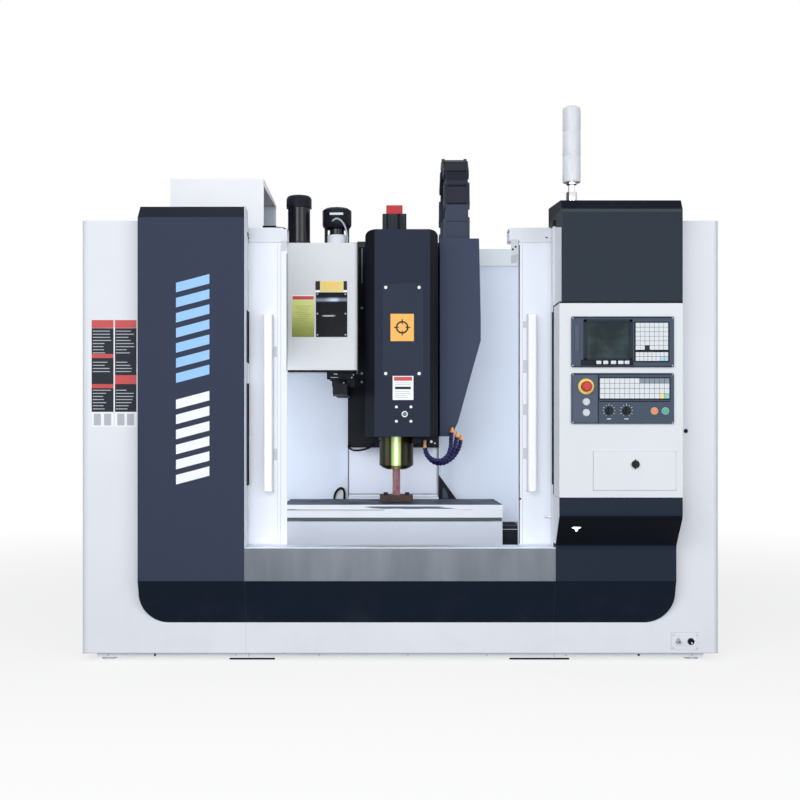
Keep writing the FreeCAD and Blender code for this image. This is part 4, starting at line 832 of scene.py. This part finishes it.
def front_seams():
    """The joints of the front panels and of the base frame, with its screws, and black
    strips of painted shadow at its foot.
    """
    tiles("panel_seams", "ghost_grey", FRONT, 0.3, (-606, -604, 30, 148))
    Form().tiles(FRONT, 0.4, (-1248, 1248, 28, 30.5)).tiles(
        PLINTH, 0.4, (-597.2, -594.8, 10, 28), (604.8, 607.2, 10, 28)).piece(
        "foot_seams", "mark_grey")
    # black strips at the foot of the base frame: painted shadow under it
    Form().blocks(1, *((left, PLINTH - 1, 0.5, right, PLINTH + 12, 5.5) for left, right in (
        (-672, -494), (430, 665)))).piece("plinth_shadow_strips", "rubber_black")
    for name, finish, proud, across in (
            ("foot_screws", "rubber_black", 2, (-965, 938)),
            ("foot_caps", "ghost_grey", 1.6, (-1150, -647, -320, 30, 340, 652, 1146))):
        Form().screws(PLINTH, 9, proud, product(across, [19])).piece(name, finish)


def left_return():
    """The pale inner side of the left cladding, with the rubber that meets the left door."""
    Form().plate([(-959, 449), (-842, 449), (-842, 1762), (-858, 1773), (-959, 1776)],
                 -605.4, -603.8, "X", 0.3).piece("left_return", "pale_coat")
    blocks("left_gasket", "rubber_black", 0.3,
           *((-604.2, back, low, -602.4, -843, high) for back, low, high in (
               (-896, 685, 1087), (-896, 1170, 1375), (-868, 1671, 1686))))


def service_plate():
    """The connector plate at the right foot: an air nipple and a round socket."""
    tiles("service_plate", "white_coat", FRONT, 2, (1063, 1170, 42, 108), radius=0.8)
    Form().tiles(FRONT, 0.8, (1060, 1173, 108, 111), (1060, 1063, 42, 108)).screws(
        FRONT - 2, 8, 1.5, product((1070, 1163), (49, 101))).piece(
        "service_screws", "ghost_grey")
    form = Form().turned([(0, -3), (4.5, -3), (4.5, -18), (7, -18), (7, -13), (9, -13), (9, -6),
                          (11, -6), (11, -1), (0, -1)], (1090, FRONT, 75), "Y", 6)
    for x, z in ((1083, 72), (1097, 72), (1090, 85)):
        form.turned([(0, -9), (3, -9), (4.5, -6), (4.5, -1), (0, -1)], (x, FRONT, z), "Y", 12)
    form.piece("air_nipple", "mark_grey")
    at = (1139, FRONT, 75)
    spun("service_socket", "rubber_black",
         [(0, -4), (9, -4), (9, -8), (12.5, -8), (12.5, -5), (13.5, -1), (0, -1)], [at], "Y")
    Form().turned([(16, -2), (18, -3), (18, -1), (16, -1), (16, -2)], at, "Y").tiles(
        FRONT - 7, 1.6, (1139, 1144, 66, 72), radius=0.5).piece("service_ring", "handle_white")
    spun("panel_grommet", "rubber_black", [(0, 0), (6, 0), (8, 2), (8, 5), (5, 7), (0, 7)],
         [(1119, FRONT - 6.5, 900)], "Y", 24)


def foot_hook():
    """A small chromed hook under the storage flap."""
    outline = ((-16, 7), (16, 7), (17, 4), (6, -1), (4, -9), (-4, -9), (-6, -1), (-17, 4))
    Form().plate([(668.5 + x, 527 + z) for x, z in outline], -1029, -1009).piece(
        "foot_hook", "chrome")


def column_fittings():
    """Sheets and joints of the control column and its head box, with a painted highlight along
    the box's fold and painted shade in the gap at the column's left edge.
    """
    tiles("flap_joint", "mark_grey", COLUMN, 0.3, (727, 1042, 820.5, 823), (727, 1042, 673.5, 676),
          (726.5, 729, 673.5, 823), (1040, 1042.5, 673.5, 823))
    Form().plate([(873, 774), (887, 754), (901, 774), (887, 794)], -1060, -1057.5,
                 radius=0.6).piece("lock_plate", "knob_black", "storage_flap")
    side = [(-1052, 1391), (-902, 1391), (-902, 1699), (-1052, 1672)]
    foot = [(-1052, 647), (-1052, 577), (-963, 464), (-902, 464), (-902, 647)]
    Form().plate(side, 606.8, 608.4, "X").plate(side, 1066.6, 1068.2, "X").plate(
        foot, 599.2, 600.6, "X").piece("head_box_sheets", "pale_coat")
    blocks("head_box_skirt", "black_coat", 0.4, (599, -902, 1703, 608.5, -839, 1727))
    # a black joint under the head box, and strips down the column's left edge that are painted
    # shade in the gap beside the panel
    Form().blocks(0.3, (600.5, COLUMN - 0.6, 1384, 1067, COLUMN + 2, 1390.5),
                  (599.3, -1054, 1384, 601, -902, 1390.5),
                  (1066, -1054, 1384, 1067.7, -902, 1390.5)).blocks(
        1.5, (594.5, -903, 690, 600.6, -897, 1366)).blocks(
        0.3, (599.2, -914, 652, 600.6, -900, 1384)).piece("column_joint_and_gap_shade", "rubber_black")
    # paler strips along the box's top fold and left edge: a painted highlight
    tiles("head_box_fold_highlight", "fold_dark", COLUMN, 0.4, (610, 1065, 1730, 1741),
          (609, 611.5, 1672, 1733))


# ---- doors

def door_fittings(side, sign, bumper_low, highlight_span, edge, tapes):
    """Pads, folds, seats and screws of one sliding door, with painted highlight and painted
    shadow strips; sign is -1 on the left.
    """
    def strips(name, finish, proud, *areas, radius=0.0):
        tiles(side + name, finish, DOOR, proud,
              *((*sorted((sign * near, sign * far)), low, high) for near, far, low, high in areas),
              body=side + "_door", radius=radius)

    strips("_bumper", "rubber_black", 4.2, (600, 612, bumper_low, 1375), radius=2)
    # a white strip in the black bumper: a painted highlight on its gloss
    strips("_bumper_insert", "handle_white", 4.8, (600.5, 609, *highlight_span), radius=2)
    strips("_door_fold", "ghost_grey", 0.3, (486, 488, 450, 1646))
    # the edge strip: a grey fold line on the left door; on the right door a black strip of painted
    # shadow in the gap at its edge
    strips("_door_edge", edge, 0.8, (473, 476, 452, 1640))
    # a grey seat under each handle, a little wider than it: its rim is painted shadow round the
    # handle
    strips("_handle_seat", "mark_grey", 1.2, (503.5, 542.5, 658, 1364), radius=0.4)
    strips("_door_tape", "ghost_grey", 0.4, *((489, 502.5, *tape) for tape in tapes))
    Form().screws(-871, 9, 1.6, product([sign * 523], (668, 826, 1198, 1354))).piece(
        side + "_handle_screws", "sheet_steel", side + "_door")


def door_brackets():
    """The hangers at the tops of the doors, a latch rod, and what lies on the rail covers."""
    Form().plate([(441, 1662), (470, 1662), (470, 1580), (462, 1566), (441, 1564)],
                 -840.4, -837).piece("right_hanger", "ghost_grey")
    # black discs: painted shade inside the holes of the hanger and of the right door
    spun("right_hanger_hole_shades", "rubber_black", [(0, -1), (3.6, -1), (4.6, 0.5), (0, 0.5)],
         [(448, -840.4, 1622), (459.5, -840.4, 1632)], "Y", 16)
    spun("right_door_hole_shade", "rubber_black", [(0, -1.5), (3.4, -1.5), (4.4, 0.5), (0, 0.5)],
         [(478, DOOR, 630)], "Y", 16, "right_door")
    Form().plate([(441, 1596), (470, 1606), (470, 1584), (462, 1569), (441, 1567)],
                 -841.2, -838).piece("right_hanger_foot", "mark_grey")
    Form().plate([(-472, 1656), (-450, 1656), (-450, 1630), (-456, 1616), (-472, 1616)],
                 -838, -834).piece("left_hanger", "ghost_grey", "left_door")
    tiles("left_seal_edge", "rubber_black", DOOR, 0.6, (-451.5, -449, 1140, 1605), body="left_door")
    Form().tube([Vector((573, -837, 559)), Vector((599.8, -837, 559))], 5).blocks(
        1.5, (594, -842, 551, 599.8, -834, 567)).piece("latch_rod", "sheet_steel", "right_door")
    form = Form()
    for outline in ([(578, 1666), (586, 1666), (586, 1670), (578, 1672)],
                    [(596, 1664), (611, 1664), (612, 1676), (608, 1677)],
                    [(-609, 1663), (-599, 1663), (-601, 1669), (-609, 1675)]):
        form.plate(outline, -842, -839)
    line = flowing([(-495, -832, 1712), (-480, -834, 1710), (-466, -838, 1708),
                    (-455, -841, 1703)], 4)
    form.blocks(2, (-547, -838, 1707.5, -493, -824, 1717)).tube(line, 2.4, 10).piece(
        "rail_stops", "rubber_black")
    Form().blocks(0.4, *((left, -839.8, 1649, right, -836.4, 1658) for left, right in (
        (-600, -473), (475, 599)))).piece("rail_lips", "pale_coat")


# ---- control units

def screen():
    """The display under its bezel, the soft keys, the cover of the ports."""
    Form().blocks(2, *((left, -1067, low, right, -1059, high) for left, right, low, high in (
        (690, 874, 1168, 1176), (690, 874, 1310, 1322), (690, 703, 1168, 1322),
        (862, 876, 1168, 1322)))).piece("screen_bezel", "unit_edge")
    blocks("screen_glass", "display", 0, (703, -1061.5, 1176, 862, -1059.5, 1310))
    blocks("port_cover", "unit_blue", 2, (657, -1065, 1198, 674.5, -1062, 1300.5))
    blocks("soft_keys", "key_white", 2.2,
           *((left, -1071, 1152, right, -1066, 1165.5) for left, right in (
               (737, 756), (763, 782), (792, 812), (819, 840), (844, 862))))
    blocks("soft_key_strip", "unit_dark", 2, (680, -1067, 1148, 878, -1062, 1169))


def keys(form, pad, chosen, wanted=True):
    """Keys at the chosen (column, row) spots of a pad, or at all the others."""
    left, right, low, high, columns, rows = pad
    wide, tall, half_gap = (right - left) / columns, (high - low) / rows, 0.5
    for column, row in product(range(columns), range(rows)):
        if ((column, row) in chosen) == wanted:
            x, z = left + column * wide, low + row * tall
            form.blocks(0.8, (x + half_gap, KEY_BED - 2.2, z + half_gap, x + wide - half_gap,
                              KEY_BED + SUNK, z + tall - half_gap), steps=1)
    return form


def keyboards():
    """The two keypads of the screen unit and the long one of the operator panel."""
    upper, dark = (886, 1009.5, 1206, 1309, 7, 6), [(2, 0)]
    lower, blue = (886, 1009.5, 1164, 1198, 8, 2), [(6, 0), (7, 0)]
    blocks("keypad_bed", "unit_dark", 1.5, (882, KEY_BED, 1160, 1014, -1062.5, 1313))
    keys(keys(Form(), upper, dark, False), lower, blue, False).piece("keypad_keys", "key_white")
    keys(Form(), upper, dark).piece("keypad_dark_key", "unit_edge")
    keys(Form(), lower, blue).piece("keypad_blue_keys", "key_blue")

    matrix = (751, 1014, 1022, 1099, 14, 4)
    coloured = {"yellow": [(12, 0)], "teal": [(13, 0)], "grey": [(c, 3) for c in range(8, 14)]}
    blocks("matrix_bed", "unit_edge", 1.5, (747, KEY_BED, 1018, 1018, -1062.5, 1103))
    for colour, spots in coloured.items():
        keys(Form(), matrix, spots).piece("matrix_key_" + colour, "key_" + colour)
    keys(Form(), matrix, sum(coloured.values(), []), False).piece(
        "matrix_key_white", "key_white")


def unit_trim():
    """Dividers, frames and corner screws of the two units, and the marks round the knobs."""
    tiles("left_field", "unit_blue", UNIT, 0.5, (650, 741, 934, 1047.6), (650, 741, 1088.4, 1111),
          (650, 678.6, 1047.6, 1088.4), (719.4, 741, 1047.6, 1088.4))
    tiles("unit_lines", "unit_dark", UNIT, 0.8, (745, 748, 930, 1113), (748, 1018, 1010, 1013.5),
          (645, 1031, 1113, 1116), (645, 1031, 1327, 1330), (645, 1031, 1143, 1145.5))
    Form().screws(UNIT, 6, 1.2, product((649.5, 1026.5), (1147, 1327, 932, 1113.5))).piece(
        "unit_screws", "mark_grey")
    form = Form()
    for x in (786, 852):
        for step in range(11):
            form.plate(spoke(x, 977, math.radians(-60 + step * 30), 19, 24 + 2 * (step % 2), 0.7),
                       UNIT - 0.5, UNIT + SUNK)
        form.tiles(UNIT, 0.5, (x - 8, x + 8, 944, 947))
    form.piece("knob_marks", "key_white")
    spun("button_rings", "ghost_grey",
         [(9.5, 0), (9.5, -3.5), (11, -4.5), (13, -4), (14.5, -1), (14.5, 0.5)],
         [(x, UNIT, z) for x, z in ((700, 1010), (700, 969), (958, 975), (999, 975))], "Y")
    spun("stop_collar", "button_yellow",
         [(19.8, -3.8), (19.8, -4.7), (28.4, -4.7), (30.2, -3.6), (30.2, 0.4)],
         [(699, UNIT, 1068)], "Y", 48)


# ---- head

def head_panel():
    """The access panel of the head cover with its plates, bolts and release button ring."""
    tiles("head_panel", "head_panel_coat", HEAD, 1.2, (-70, 117, 1148, 1577), body="spindle_head",
          radius=0.8)
    Form().screws(HEAD_PLATE, 15, 4, product((-55, 98), (1164, 1559))).screws(
        HEAD, 13, 4, product((-6, 60.5), (945, 1011))).piece(
        "head_screws", "handle_white", "spindle_head")
    tiles("head_plate", "field_orange", HEAD_PLATE, 0.8, (-33, 74, 1313, 1438), body="spindle_head")
    x, face, z = 20.5, HEAD - 2, 1376
    form = Form().turned([(22, 0.2), (22, -0.8), (29, -0.8), (29, 0.2)], (x, face, z), "Y", 40)
    for step in range(4):
        form.plate(spoke(x, z, math.tau * step / 4, 15, 38, 2.4), face - 0.9, face + 0.2)
    form.piece("head_plate_mark", "field_dark", "spindle_head")
    tiles("head_label", "mark_white", HEAD_PLATE, 0.6, (-23, 72, 1043, 1153), body="spindle_head")
    tiles("head_label_top", "field_red", LABEL, 0.5, (-17, 66, 1131, 1149), body="spindle_head")
    tiles("head_label_bar", "field_dark", LABEL, 0.5, (-12, 60, 1092, 1104), body="spindle_head",
          radius=0.4)
    tiles("head_label_rules", "mark_grey", LABEL, 0.3,
          *((-12, 60 - (low % 4) * 6, low, low + 2.6) for low in (
              1054, 1063, 1072, 1081, 1112, 1120)), body="spindle_head")
    spun("release_ring", "chrome", [(14.3, 0.5), (14.3, -4), (15.2, -4.6), (17, 0.5)],
         [(32, HEAD, 978)], "Y", body="spindle_head")
    spun("release_rim", "handle_white", [(10.4, 0.4), (10.4, -1.2), (13.4, -1.2), (13.9, 0.4)],
         [(32, -140, 978)], "Y", 40, "tool_release")


def slide_fittings():
    """Bolts on the black slide beside the head, the dark valve block and a cable loop."""
    Form().screws(350, 13, 5, ((-173, 1517), (-173, 1189), (-173, 1147), (-226, 1188),
                               (-226, 1172))).blocks(
        1, (-174, 346, 1640, -170, 350.5, 1816)).piece("slide_bolts", "mark_grey", "spindle_head")
    line = flowing([(-236, 346, 838), (-238, 338, 820), (-214, 330, 805), (-176, 330, 806),
                    (-136, 338, 818), (-112, 348, 836)])
    Form().tube(line, 5.0).piece("head_cable", "rubber_black", "spindle_head")
    blocks("valve_block", "black_coat", 3, (70, -60, 842, 112, 40, 875),
           (112, -40, 858, 188, 44, 875), (148, -38, 832, 186, 44, 860), body="spindle_head")
    Form().turned([(0, -7), (4.5, -7), (4.5, -3), (7, -3), (7, 1), (0, 1)], (158, -38, 851),
                  "Y", 6).turned([(0, -4), (3, -4), (4, 1), (0, 1)], (175, -38, 843),
                                 "Y", 12).piece("valve_plugs", "key_white", "spindle_head")


def spindle_nose_details():
    """Rings and bolts of the spindle housing."""
    x, y, radius = -4, 56, 66
    spun("housing_ring", "zinc_gold", [(80.5, 858), (83, 858), (83, 872), (80.5, 872)],
         [(x, y, 0)], "Z", 64, "spindle_head")
    turns = [math.tau * (step + 0.5) / 8 for step in range(8)]
    spun("nose_bolts", "motor_black",
         [(0, 731), (2.6, 731), (2.6, 728), (5.4, 728), (5.4, 740), (0, 740)],
         [(x + radius * math.cos(turn), y + radius * math.sin(turn), 0) for turn in turns],
         "Z", 16, "spindle_head")


def coolant_lines():
    """Three jointed nozzles from one orange valve under the head."""
    routes = [[(130, -18, 822), (138, -18, 794), (164, -16, 768), (204, -14, 762),
               (236, -12, 786), (250, -10, 824), (253, -8, 868), (256, -8, 896)],
              [(130, 4, 822), (140, 4, 788), (170, 6, 759), (214, 8, 755), (250, 10, 780),
               (269, 12, 816), (277, 12, 852), (280, 12, 874)],
              [(130, 26, 822), (142, 26, 784), (176, 28, 752), (222, 30, 750), (262, 32, 775),
               (287, 34, 810), (298, 34, 842), (301, 34, 861)]]
    hoses, tips = Form(), Form()
    for route in routes:
        line = evenly(flowing(route, 12), 3.2)
        radii = [(9.6, 11.0, 11.2, 10.2, 8.2)[place % 5] for place in range(len(line))]
        hoses.tube(line, radii, 14)
        ahead = (line[-1] - line[-3]).normalized()
        tips.tube([line[-1] + ahead * far for far in (-4, 0, 6, 8, 24, 25)],
                  [8, 10.5, 10.5, 8.5, 5, 3.4], 14)
    hoses.piece("coolant_hose_lines", "hose_navy", "spindle_head", "coolant_hoses")
    tips.piece("coolant_tips", "hose_orange", "spindle_head")
    spun("coolant_valves", "valve_brass",
         [(0, 872), (6.5, 872), (6.5, 862), (8, 860), (8, 846), (6.5, 844), (6.5, 830),
          (8, 828), (9, 816), (0, 816)], [(*route[0][:2], 0) for route in routes],
         "Z", 16, "spindle_head")


def chain_pins():
    """The pin heads on both sides of the cable chain, at every joint of its links."""
    near, far, top, radius, link = 90, 571.2, 1983, 240.6, 84
    turns = [math.pi * step / 9 for step in range(1, 10)]
    joints = [(near, top - link), (near, top),
              *((near + radius - radius * math.cos(turn), top + radius * math.sin(turn))
                for turn in turns),
              *((far, top - link * step) for step in range(1, 4))]
    form = Form()
    for (back, up), (face, way) in product(joints, ((224, -1), (346, 1))):
        form.turned([(0, way * 0.6), (3, way * 0.6), (4, way * 1.6), (8, way * 1.6), (9.5, 0),
                     (9.5, -way), (0, -way)], (face, back, up), "X", 20)
    form.piece("chain_pins", "motor_gloss", "spindle_head")


# ---- motors and tool changer

def drive_motors():
    """The ribbed bodies, caps and cowls of the motors over the machine."""
    arm, fan = (-466, 56, 0), (-286, 56, 0)
    spun("arm_motor_body", "motor_gloss",
         [(0, 1766.5), (59.5, 1766.5), (59.5, 1778), (55, 1780), (53.5, 1784), (53.5, 1790),
          (55, 1792), (55, 1798), (53, 1800), (53, 1964), (0, 1964)],
         [arm], "Z", 48, "machine", "atc_drive_motor")
    spun("arm_motor_cap", "motor_black", [(0, 1958), (60, 1958), (60, 1999), (57, 2008),
                                          (50, 2014), (36, 2017), (0, 2018)], [arm], "Z", 48)
    spun("fan_motor_base", "pale_coat",
         [(0, 1766.5), (50, 1766.5), (50, 1822), (46, 1828), (0, 1828)], [fan], "Z", 40)
    spun("fan_motor_body", "motor_gloss",
         [(0, 1826), (37, 1826), (37, 1834), (34, 1836), (34, 1856), (37, 1858), (37, 1866),
          (0, 1866)], [fan], "Z", 40, "machine", "atc_fan_motor")
    Form().turned([(0, 1955), (56, 1955), (69, 1946), (69, 1876), (63, 1864), (58, 1861),
                   (58, 1868), (62, 1878), (62, 1938), (0, 1940)], fan, sides=12).blocks(
        3, (-344, 30, 1767, -330, 82, 1868), (-242, 30, 1767, -228, 82, 1868)).piece(
        "fan_cowl", "motor_black")
    blocks("fan_slot", "key_white", 1.5, (-318, -14, 1915, -254, -10, 1926))
    line = flowing([(-307, -2, 1884), (-296, -12, 1894), (-280, -14, 1897), (-260, -11, 1884),
                    (-244, -6, 1856), (-236, 2, 1816), (-236, 8, 1766)])
    Form().tube(line, 4.2).piece("fan_lead", "mark_grey")


def changer_front():
    """The sight window, tag and label on the changer's housing, and its cover screws."""
    tiles("sight_window", "sight_glass", ATC, 2.5, (-376, -232, 1333, 1538), radius=1.2)
    tiles("tag_yellow", "field_yellow", ATC, 1.2, (-357, -249, 1540, 1591))
    tiles("tag_ends", "field_dark", ATC, 1.2, (-378, -357, 1549, 1590), (-249, -233, 1549, 1590))
    Form().tiles(ATC, 1.0, (-378, -357, 1539, 1548), (-249, -233, 1539, 1548)).tiles(
        ATC, 0.6, (-486.5, -384, 1503, 1526)).piece("tag_feet", "mark_white")
    Form().tiles(ATC - 1.2, 0.3, *((-346, right, low, low + 4) for low, right in (
        (1556, -262), (1566, -270), (1576, -262)))).piece("tag_rules", "field_orange")
    Form().screws(ATC - 2.5, 8, 2, product((-369, -240), (1343, 1440, 1530))).piece(
        "window_screws", "mark_grey")
    tiles("oil_label", "label_green", ATC, 0.8, (-486.5, -384, 1333, 1503))
    tiles("oil_label_top", "field_red", ATC, 1.2, (-484, -386, 1505, 1521))
    tiles("oil_label_rules", "label_olive", ATC, 1.1,
          *((-474 + 9 * (step % 3), -398 - 7 * (step % 4), 1474 - step * 9.5,
              1476.4 - step * 9.5) for step in range(14)))


def arm_hub():
    """The hub, cylinders and tips under the changer's housing."""
    Form().turned([(0, 1182), (66, 1182), (66, 1168), (58, 1160), (58, 1140), (48, 1136),
                   (48, 1112), (0, 1112)], (-262, 56, 0), sides=40).blocks(
        4, (-330, -40, 1142, -204, 0, 1181), (-238, -30, 1106, -196, 10, 1150)).piece(
        "arm_hub", "black_coat")
    Form().blocks(1, (-312, -42, 1149, -276, -39, 1152.5), (-296, -42, 1164, -280, -39, 1169)
                  ).screws(-44, 8, 3, ((-205, 1163), (-213, 1150), (-250, 1125))).piece(
        "arm_hub_screws", "mark_grey")
    Form().blocks(1, (-506, -120.6, 1172, -188, -90, 1181)).blocks(
        1.5, (-227, -34, 1114, -217, -22, 1126), (-327, -34, 1142, -317, -22, 1154),
        steps=1).piece("changer_lip", "rubber_black")


# ---- table and column

def prop_bolts():
    """Two hexagon bolts that hold the transport block on the table."""
    spun("prop_bolts", "motor_black",
         [(0, 597), (13, 597), (13, 599), (11, 599), (11, 608), (9, 610), (0, 610)],
         [(-54, 56, 0), (48, 56, 0)], "Z", 6, "work_table")


def column_plates():
    """The sheet before the column's foot, and its gussets with their leads."""
    Form().blocks(1, (-238, 446, 582, 212, 449.5, 812)).blocks(
        1.5, (-238, 440, 566, 212, 449.5, 578)).piece("column_sheet", "cover_sheet")
    Form().blocks(0.5, (212.5, 438, 566, 217.5, 449.5, 872), (-246, 446, 566, -241, 450, 872)
                  ).blocks(0, (-238, 445, 578, 212, 449, 582)).piece(
        "column_sheet_edges", "fold_grey")
    Form().plate([(219, 676), (309, 553), (219, 553)], 476, 482, radius=1).piece(
        "right_gusset", "black_coat")
    Form().plate([(238, 606), (246, 612), (262, 584), (268, 556), (238, 556)],
                 474.5, 477).piece("right_gusset_web", "unit_grey")
    Form().plate([(-245, 676), (-334, 553), (-245, 553)], 476, 482, radius=1).piece(
        "left_gusset", "pale_coat")
    line = flowing([(-316, 470, 553), (-312, 468, 578), (-300, 466, 598), (-282, 466, 609),
                    (-268, 468, 600), (-264, 470, 578), (-265, 470, 553)])
    Form().tube(line, 6).piece("gusset_leads", "rubber_black")


def table_marks():
    """The seam of the table's front strip, and the black cover of the long drive at its right."""
    tiles("table_seam", "unit_dark", -159, 0.4, (-520, -60, 538.5, 541), body="work_table")
    blocks("table_wiper", "fold_grey", 1.5, (-520, -153, 489.5, 476, -132, 505.5),
           body="work_table")
    Form().blocks(5, (424, -120, 352, 560, 110, 464)).blocks(
        1.5, *((424, back - 4, 462, 560, back + 4, 467) for back in (-60, 0, 60)),
        steps=1).piece("long_drive_cover", "black_coat", "cross_slide")
    blocks("long_drive_seam", "mark_grey", 0.5, (428, -121, 447, 556, -119, 449.5),
           body="cross_slide")


# ---- back, sides and top

def back_fittings():
    """Ribs, a cover plate, lifting eyes, hinges and conduits at the back."""
    blocks("wall_ribs", "wall_coat", 4,
           *((left, 529, 450, left + 58, 556, 1735) for left in (-1160, -800, -440, 345)))
    blocks("column_back_plate", "slate_coat", 3, (-130, 902, 760, 116, 910, 1560))
    spun("column_back_bolts", "chrome", [(0, 7), (8, 7), (9, 5), (9, -0.5), (0, -0.5)],
         product((-112, 98), [910], (780, 970, 1160, 1350, 1540)), "Y", 6)
    form = Form()
    for x in (-196, 180):
        form.turned([(0, 0), (20, 0), (20, 5), (11, 8), (0, 8)], (x, 850, 1869.5), sides=24)
        turns = [math.tau * step / 24 for step in range(25)]
        form.tube([Vector((x + 17 * math.sin(turn), 850, 1898 - 17 * math.cos(turn)))
                   for turn in turns], 5.5)
    form.piece("lifting_eyes", "slate_coat")
    spun("cabinet_hinges", "chrome",
         [(0, 0), (7, 0), (8, 2), (8, 38), (7, 39), (7, 41), (8, 42), (8, 78), (7, 80), (0, 80)],
         product([1236], [1082], (250, 880, 1510)), "Z", 20)
    form = Form()
    for back in (640, 730, 820):
        line = evenly(flowing([(480, back, 1722), (480, back, 1762), (455, back, 1800),
                               (390, back, 1816), (300, back, 1810), (214, back, 1786)], 12), 5)
        form.tube(line, [(14, 16)[place % 2] for place in range(len(line))], 16)
        form.turned([(0, 0), (24, 0), (24, 10), (19, 14), (0, 14)], (480, back, 1724), sides=6)
    form.piece("cabinet_conduits", "rubber_black")


def side_fittings():
    """Joints and screws on the tool store and the rail covers, and the column's louvres."""
    blocks("store_joints", "mark_grey", 0,
           *((-1006, back, 2029, -616, back + 2, 2031) for back in (-246, 334)),
           *((left, -246, 2029, left + 2, 336, 2031) for left in (-1006, -618)),
           *((-1020.8, back, 1196, -1019, back + 2, 2014) for back in (-244, 330)),
           *((-1020.8, -244, up, -1019, 332, up + 2) for up in (1196, 2014)))
    Form().plate([(-260, 2030), (350, 2030), (350, 2015), (-260, 1998)], -604, -601.2,
                 "X").piece("store_flange", "store_coat")
    # a pale lilac sheet inside the tool store: painted light on its shaded inside
    blocks("store_lit_lining", "lilac_coat", 0, (-760, 336, 1200, -606, 349, 2020))
    form = Form()
    for profile, along, *spots in (
            ([(7, -0.5), (7, 1.5), (5, 2.6), (2, 2.6), (2, 1), (0, 1)], "Z",
             (-990, -811, -632), (-216, 45, 306), [2030]),
            ([(7, 0.5), (7, -1.5), (5, -2.6), (2, -2.6), (2, -1), (0, -1)], "X",
             [-1020], (-226, 45, 314), (1214, 1605, 1996)),
            ([(6, -0.5), (6, 1.5), (4, 2.4), (2, 2.4), (2, 1), (0, 1)], "X",
             [1067], (-1036, -922), (666, 1018, 1370))):
        for spot in product(*spots):
            form.turned(profile, spot, along, 16)
    form.piece("store_screws", "mark_grey")
    form = Form().blocks(0.5, (1066.5, -1043, 940, 1068, -913, 1110))
    for up in range(960, 1096, 15):
        form.plate([(1068, up), (1074, up), (1068, up + 9)], -1030, -926)
    form.piece("column_louvres", "column_coat")
    spun("rail_bolts", "mark_grey", [(0, 6), (9, 6), (10, 4), (10, -0.5), (0, -0.5)],
         product((-900, -560, 560, 900), [-795], [1708]), "Z", 6)


# ---- floor and world

CLEAR_FROM, CLEAR_TO = 1.6, 6.5     # metres over which the floor fades to white
FLOOR_HALF = 30


def white_for_the_eye(tree, share):
    """How much of what camera, glossy and transmitted rays see is white: this share near
    the machine and all of it far away. Other rays see none of it."""
    rays = [tree.add("LightPath", output=word)
            for word in ("Is Camera Ray", "Is Glossy Ray", "Is Transmission Ray")]
    seen = rays[0]
    for ray in rays[1:]:
        seen = tree.add("Math", {"operation": "MAXIMUM"}, {0: seen, 1: ray})
    if share == 1:
        return seen
    away = tree.add("VectorMath", {"operation": "LENGTH"},
                    {0: tree.add("TexCoord", output="Object")}, "Value")
    return seen * tree.add("MapRange", {"interpolation_type": "SMOOTHSTEP"},
                           {"Value": away, "From Min": CLEAR_FROM, "From Max": CLEAR_TO,
                            "To Min": share, "To Max": 1.0})


def backdrop():
    """A world that lights softly, and a floor that keeps the shadow, both white to the eye."""
    world = bpy.data.worlds.new("studio_world")
    bpy.context.scene.world = world
    tree = Tree(world)
    tree.nodes.clear()
    soft = tree.add("Background", {}, {"Color": (0.95, 0.97, 1.0, 1), "Strength": 0.42})
    white = tree.add("Background", {}, {"Color": (1, 1, 1, 1), "Strength": 1.0})
    tree.show("World", soft, white, white_for_the_eye(tree, 1))

    material = bpy.data.materials.new("studio_floor")
    tree = Tree(material)
    tree.nodes.clear()
    pale = tree.add("Mix", {"data_type": "RGBA"},
                    {0: tree.add("LightPath", output="Is Camera Ray"),
                     6: (0.22, 0.22, 0.23, 1), 7: (0.95, 0.95, 0.95, 1)}, 2)
    matt = tree.add("BsdfDiffuse", {}, {"Color": pale})
    glow = tree.add("Emission", {}, {"Strength": 1.0})
    tree.show("Material", matt, glow, white_for_the_eye(tree, 0.75))
    mesh = bpy.data.meshes.new("studio_floor")
    corners = [(x * FLOOR_HALF, y * FLOOR_HALF, 0) for x, y in ((-1, -1), (1, -1), (1, 1), (-1, 1))]
    mesh.from_pydata(corners, [], [(0, 1, 2, 3)])
    mesh.materials.append(material)
    floor = stand("studio_floor", mesh)


look()
studio()
backdrop()
finish_nodes()

signal_tower()
slab_stripes()
notices()
front_seams()
left_return()
service_plate()
foot_hook()
column_fittings()
door_fittings("left", -1, 685, (1087, 1170), "ghost_grey", ((1194, 1236), (783, 830)))
door_fittings("right", 1, 700, (848, 1027), "rubber_black",
              ((1310, 1337), (1131, 1182), (963, 1007), (789, 832)))
door_brackets()
screen()
keyboards()
unit_trim()
head_panel()
slide_fittings()
spindle_nose_details()
coolant_lines()
chain_pins()
drive_motors()
changer_front()
arm_hub()
prop_bolts()
column_plates()
table_marks()
back_fittings()
side_fittings()
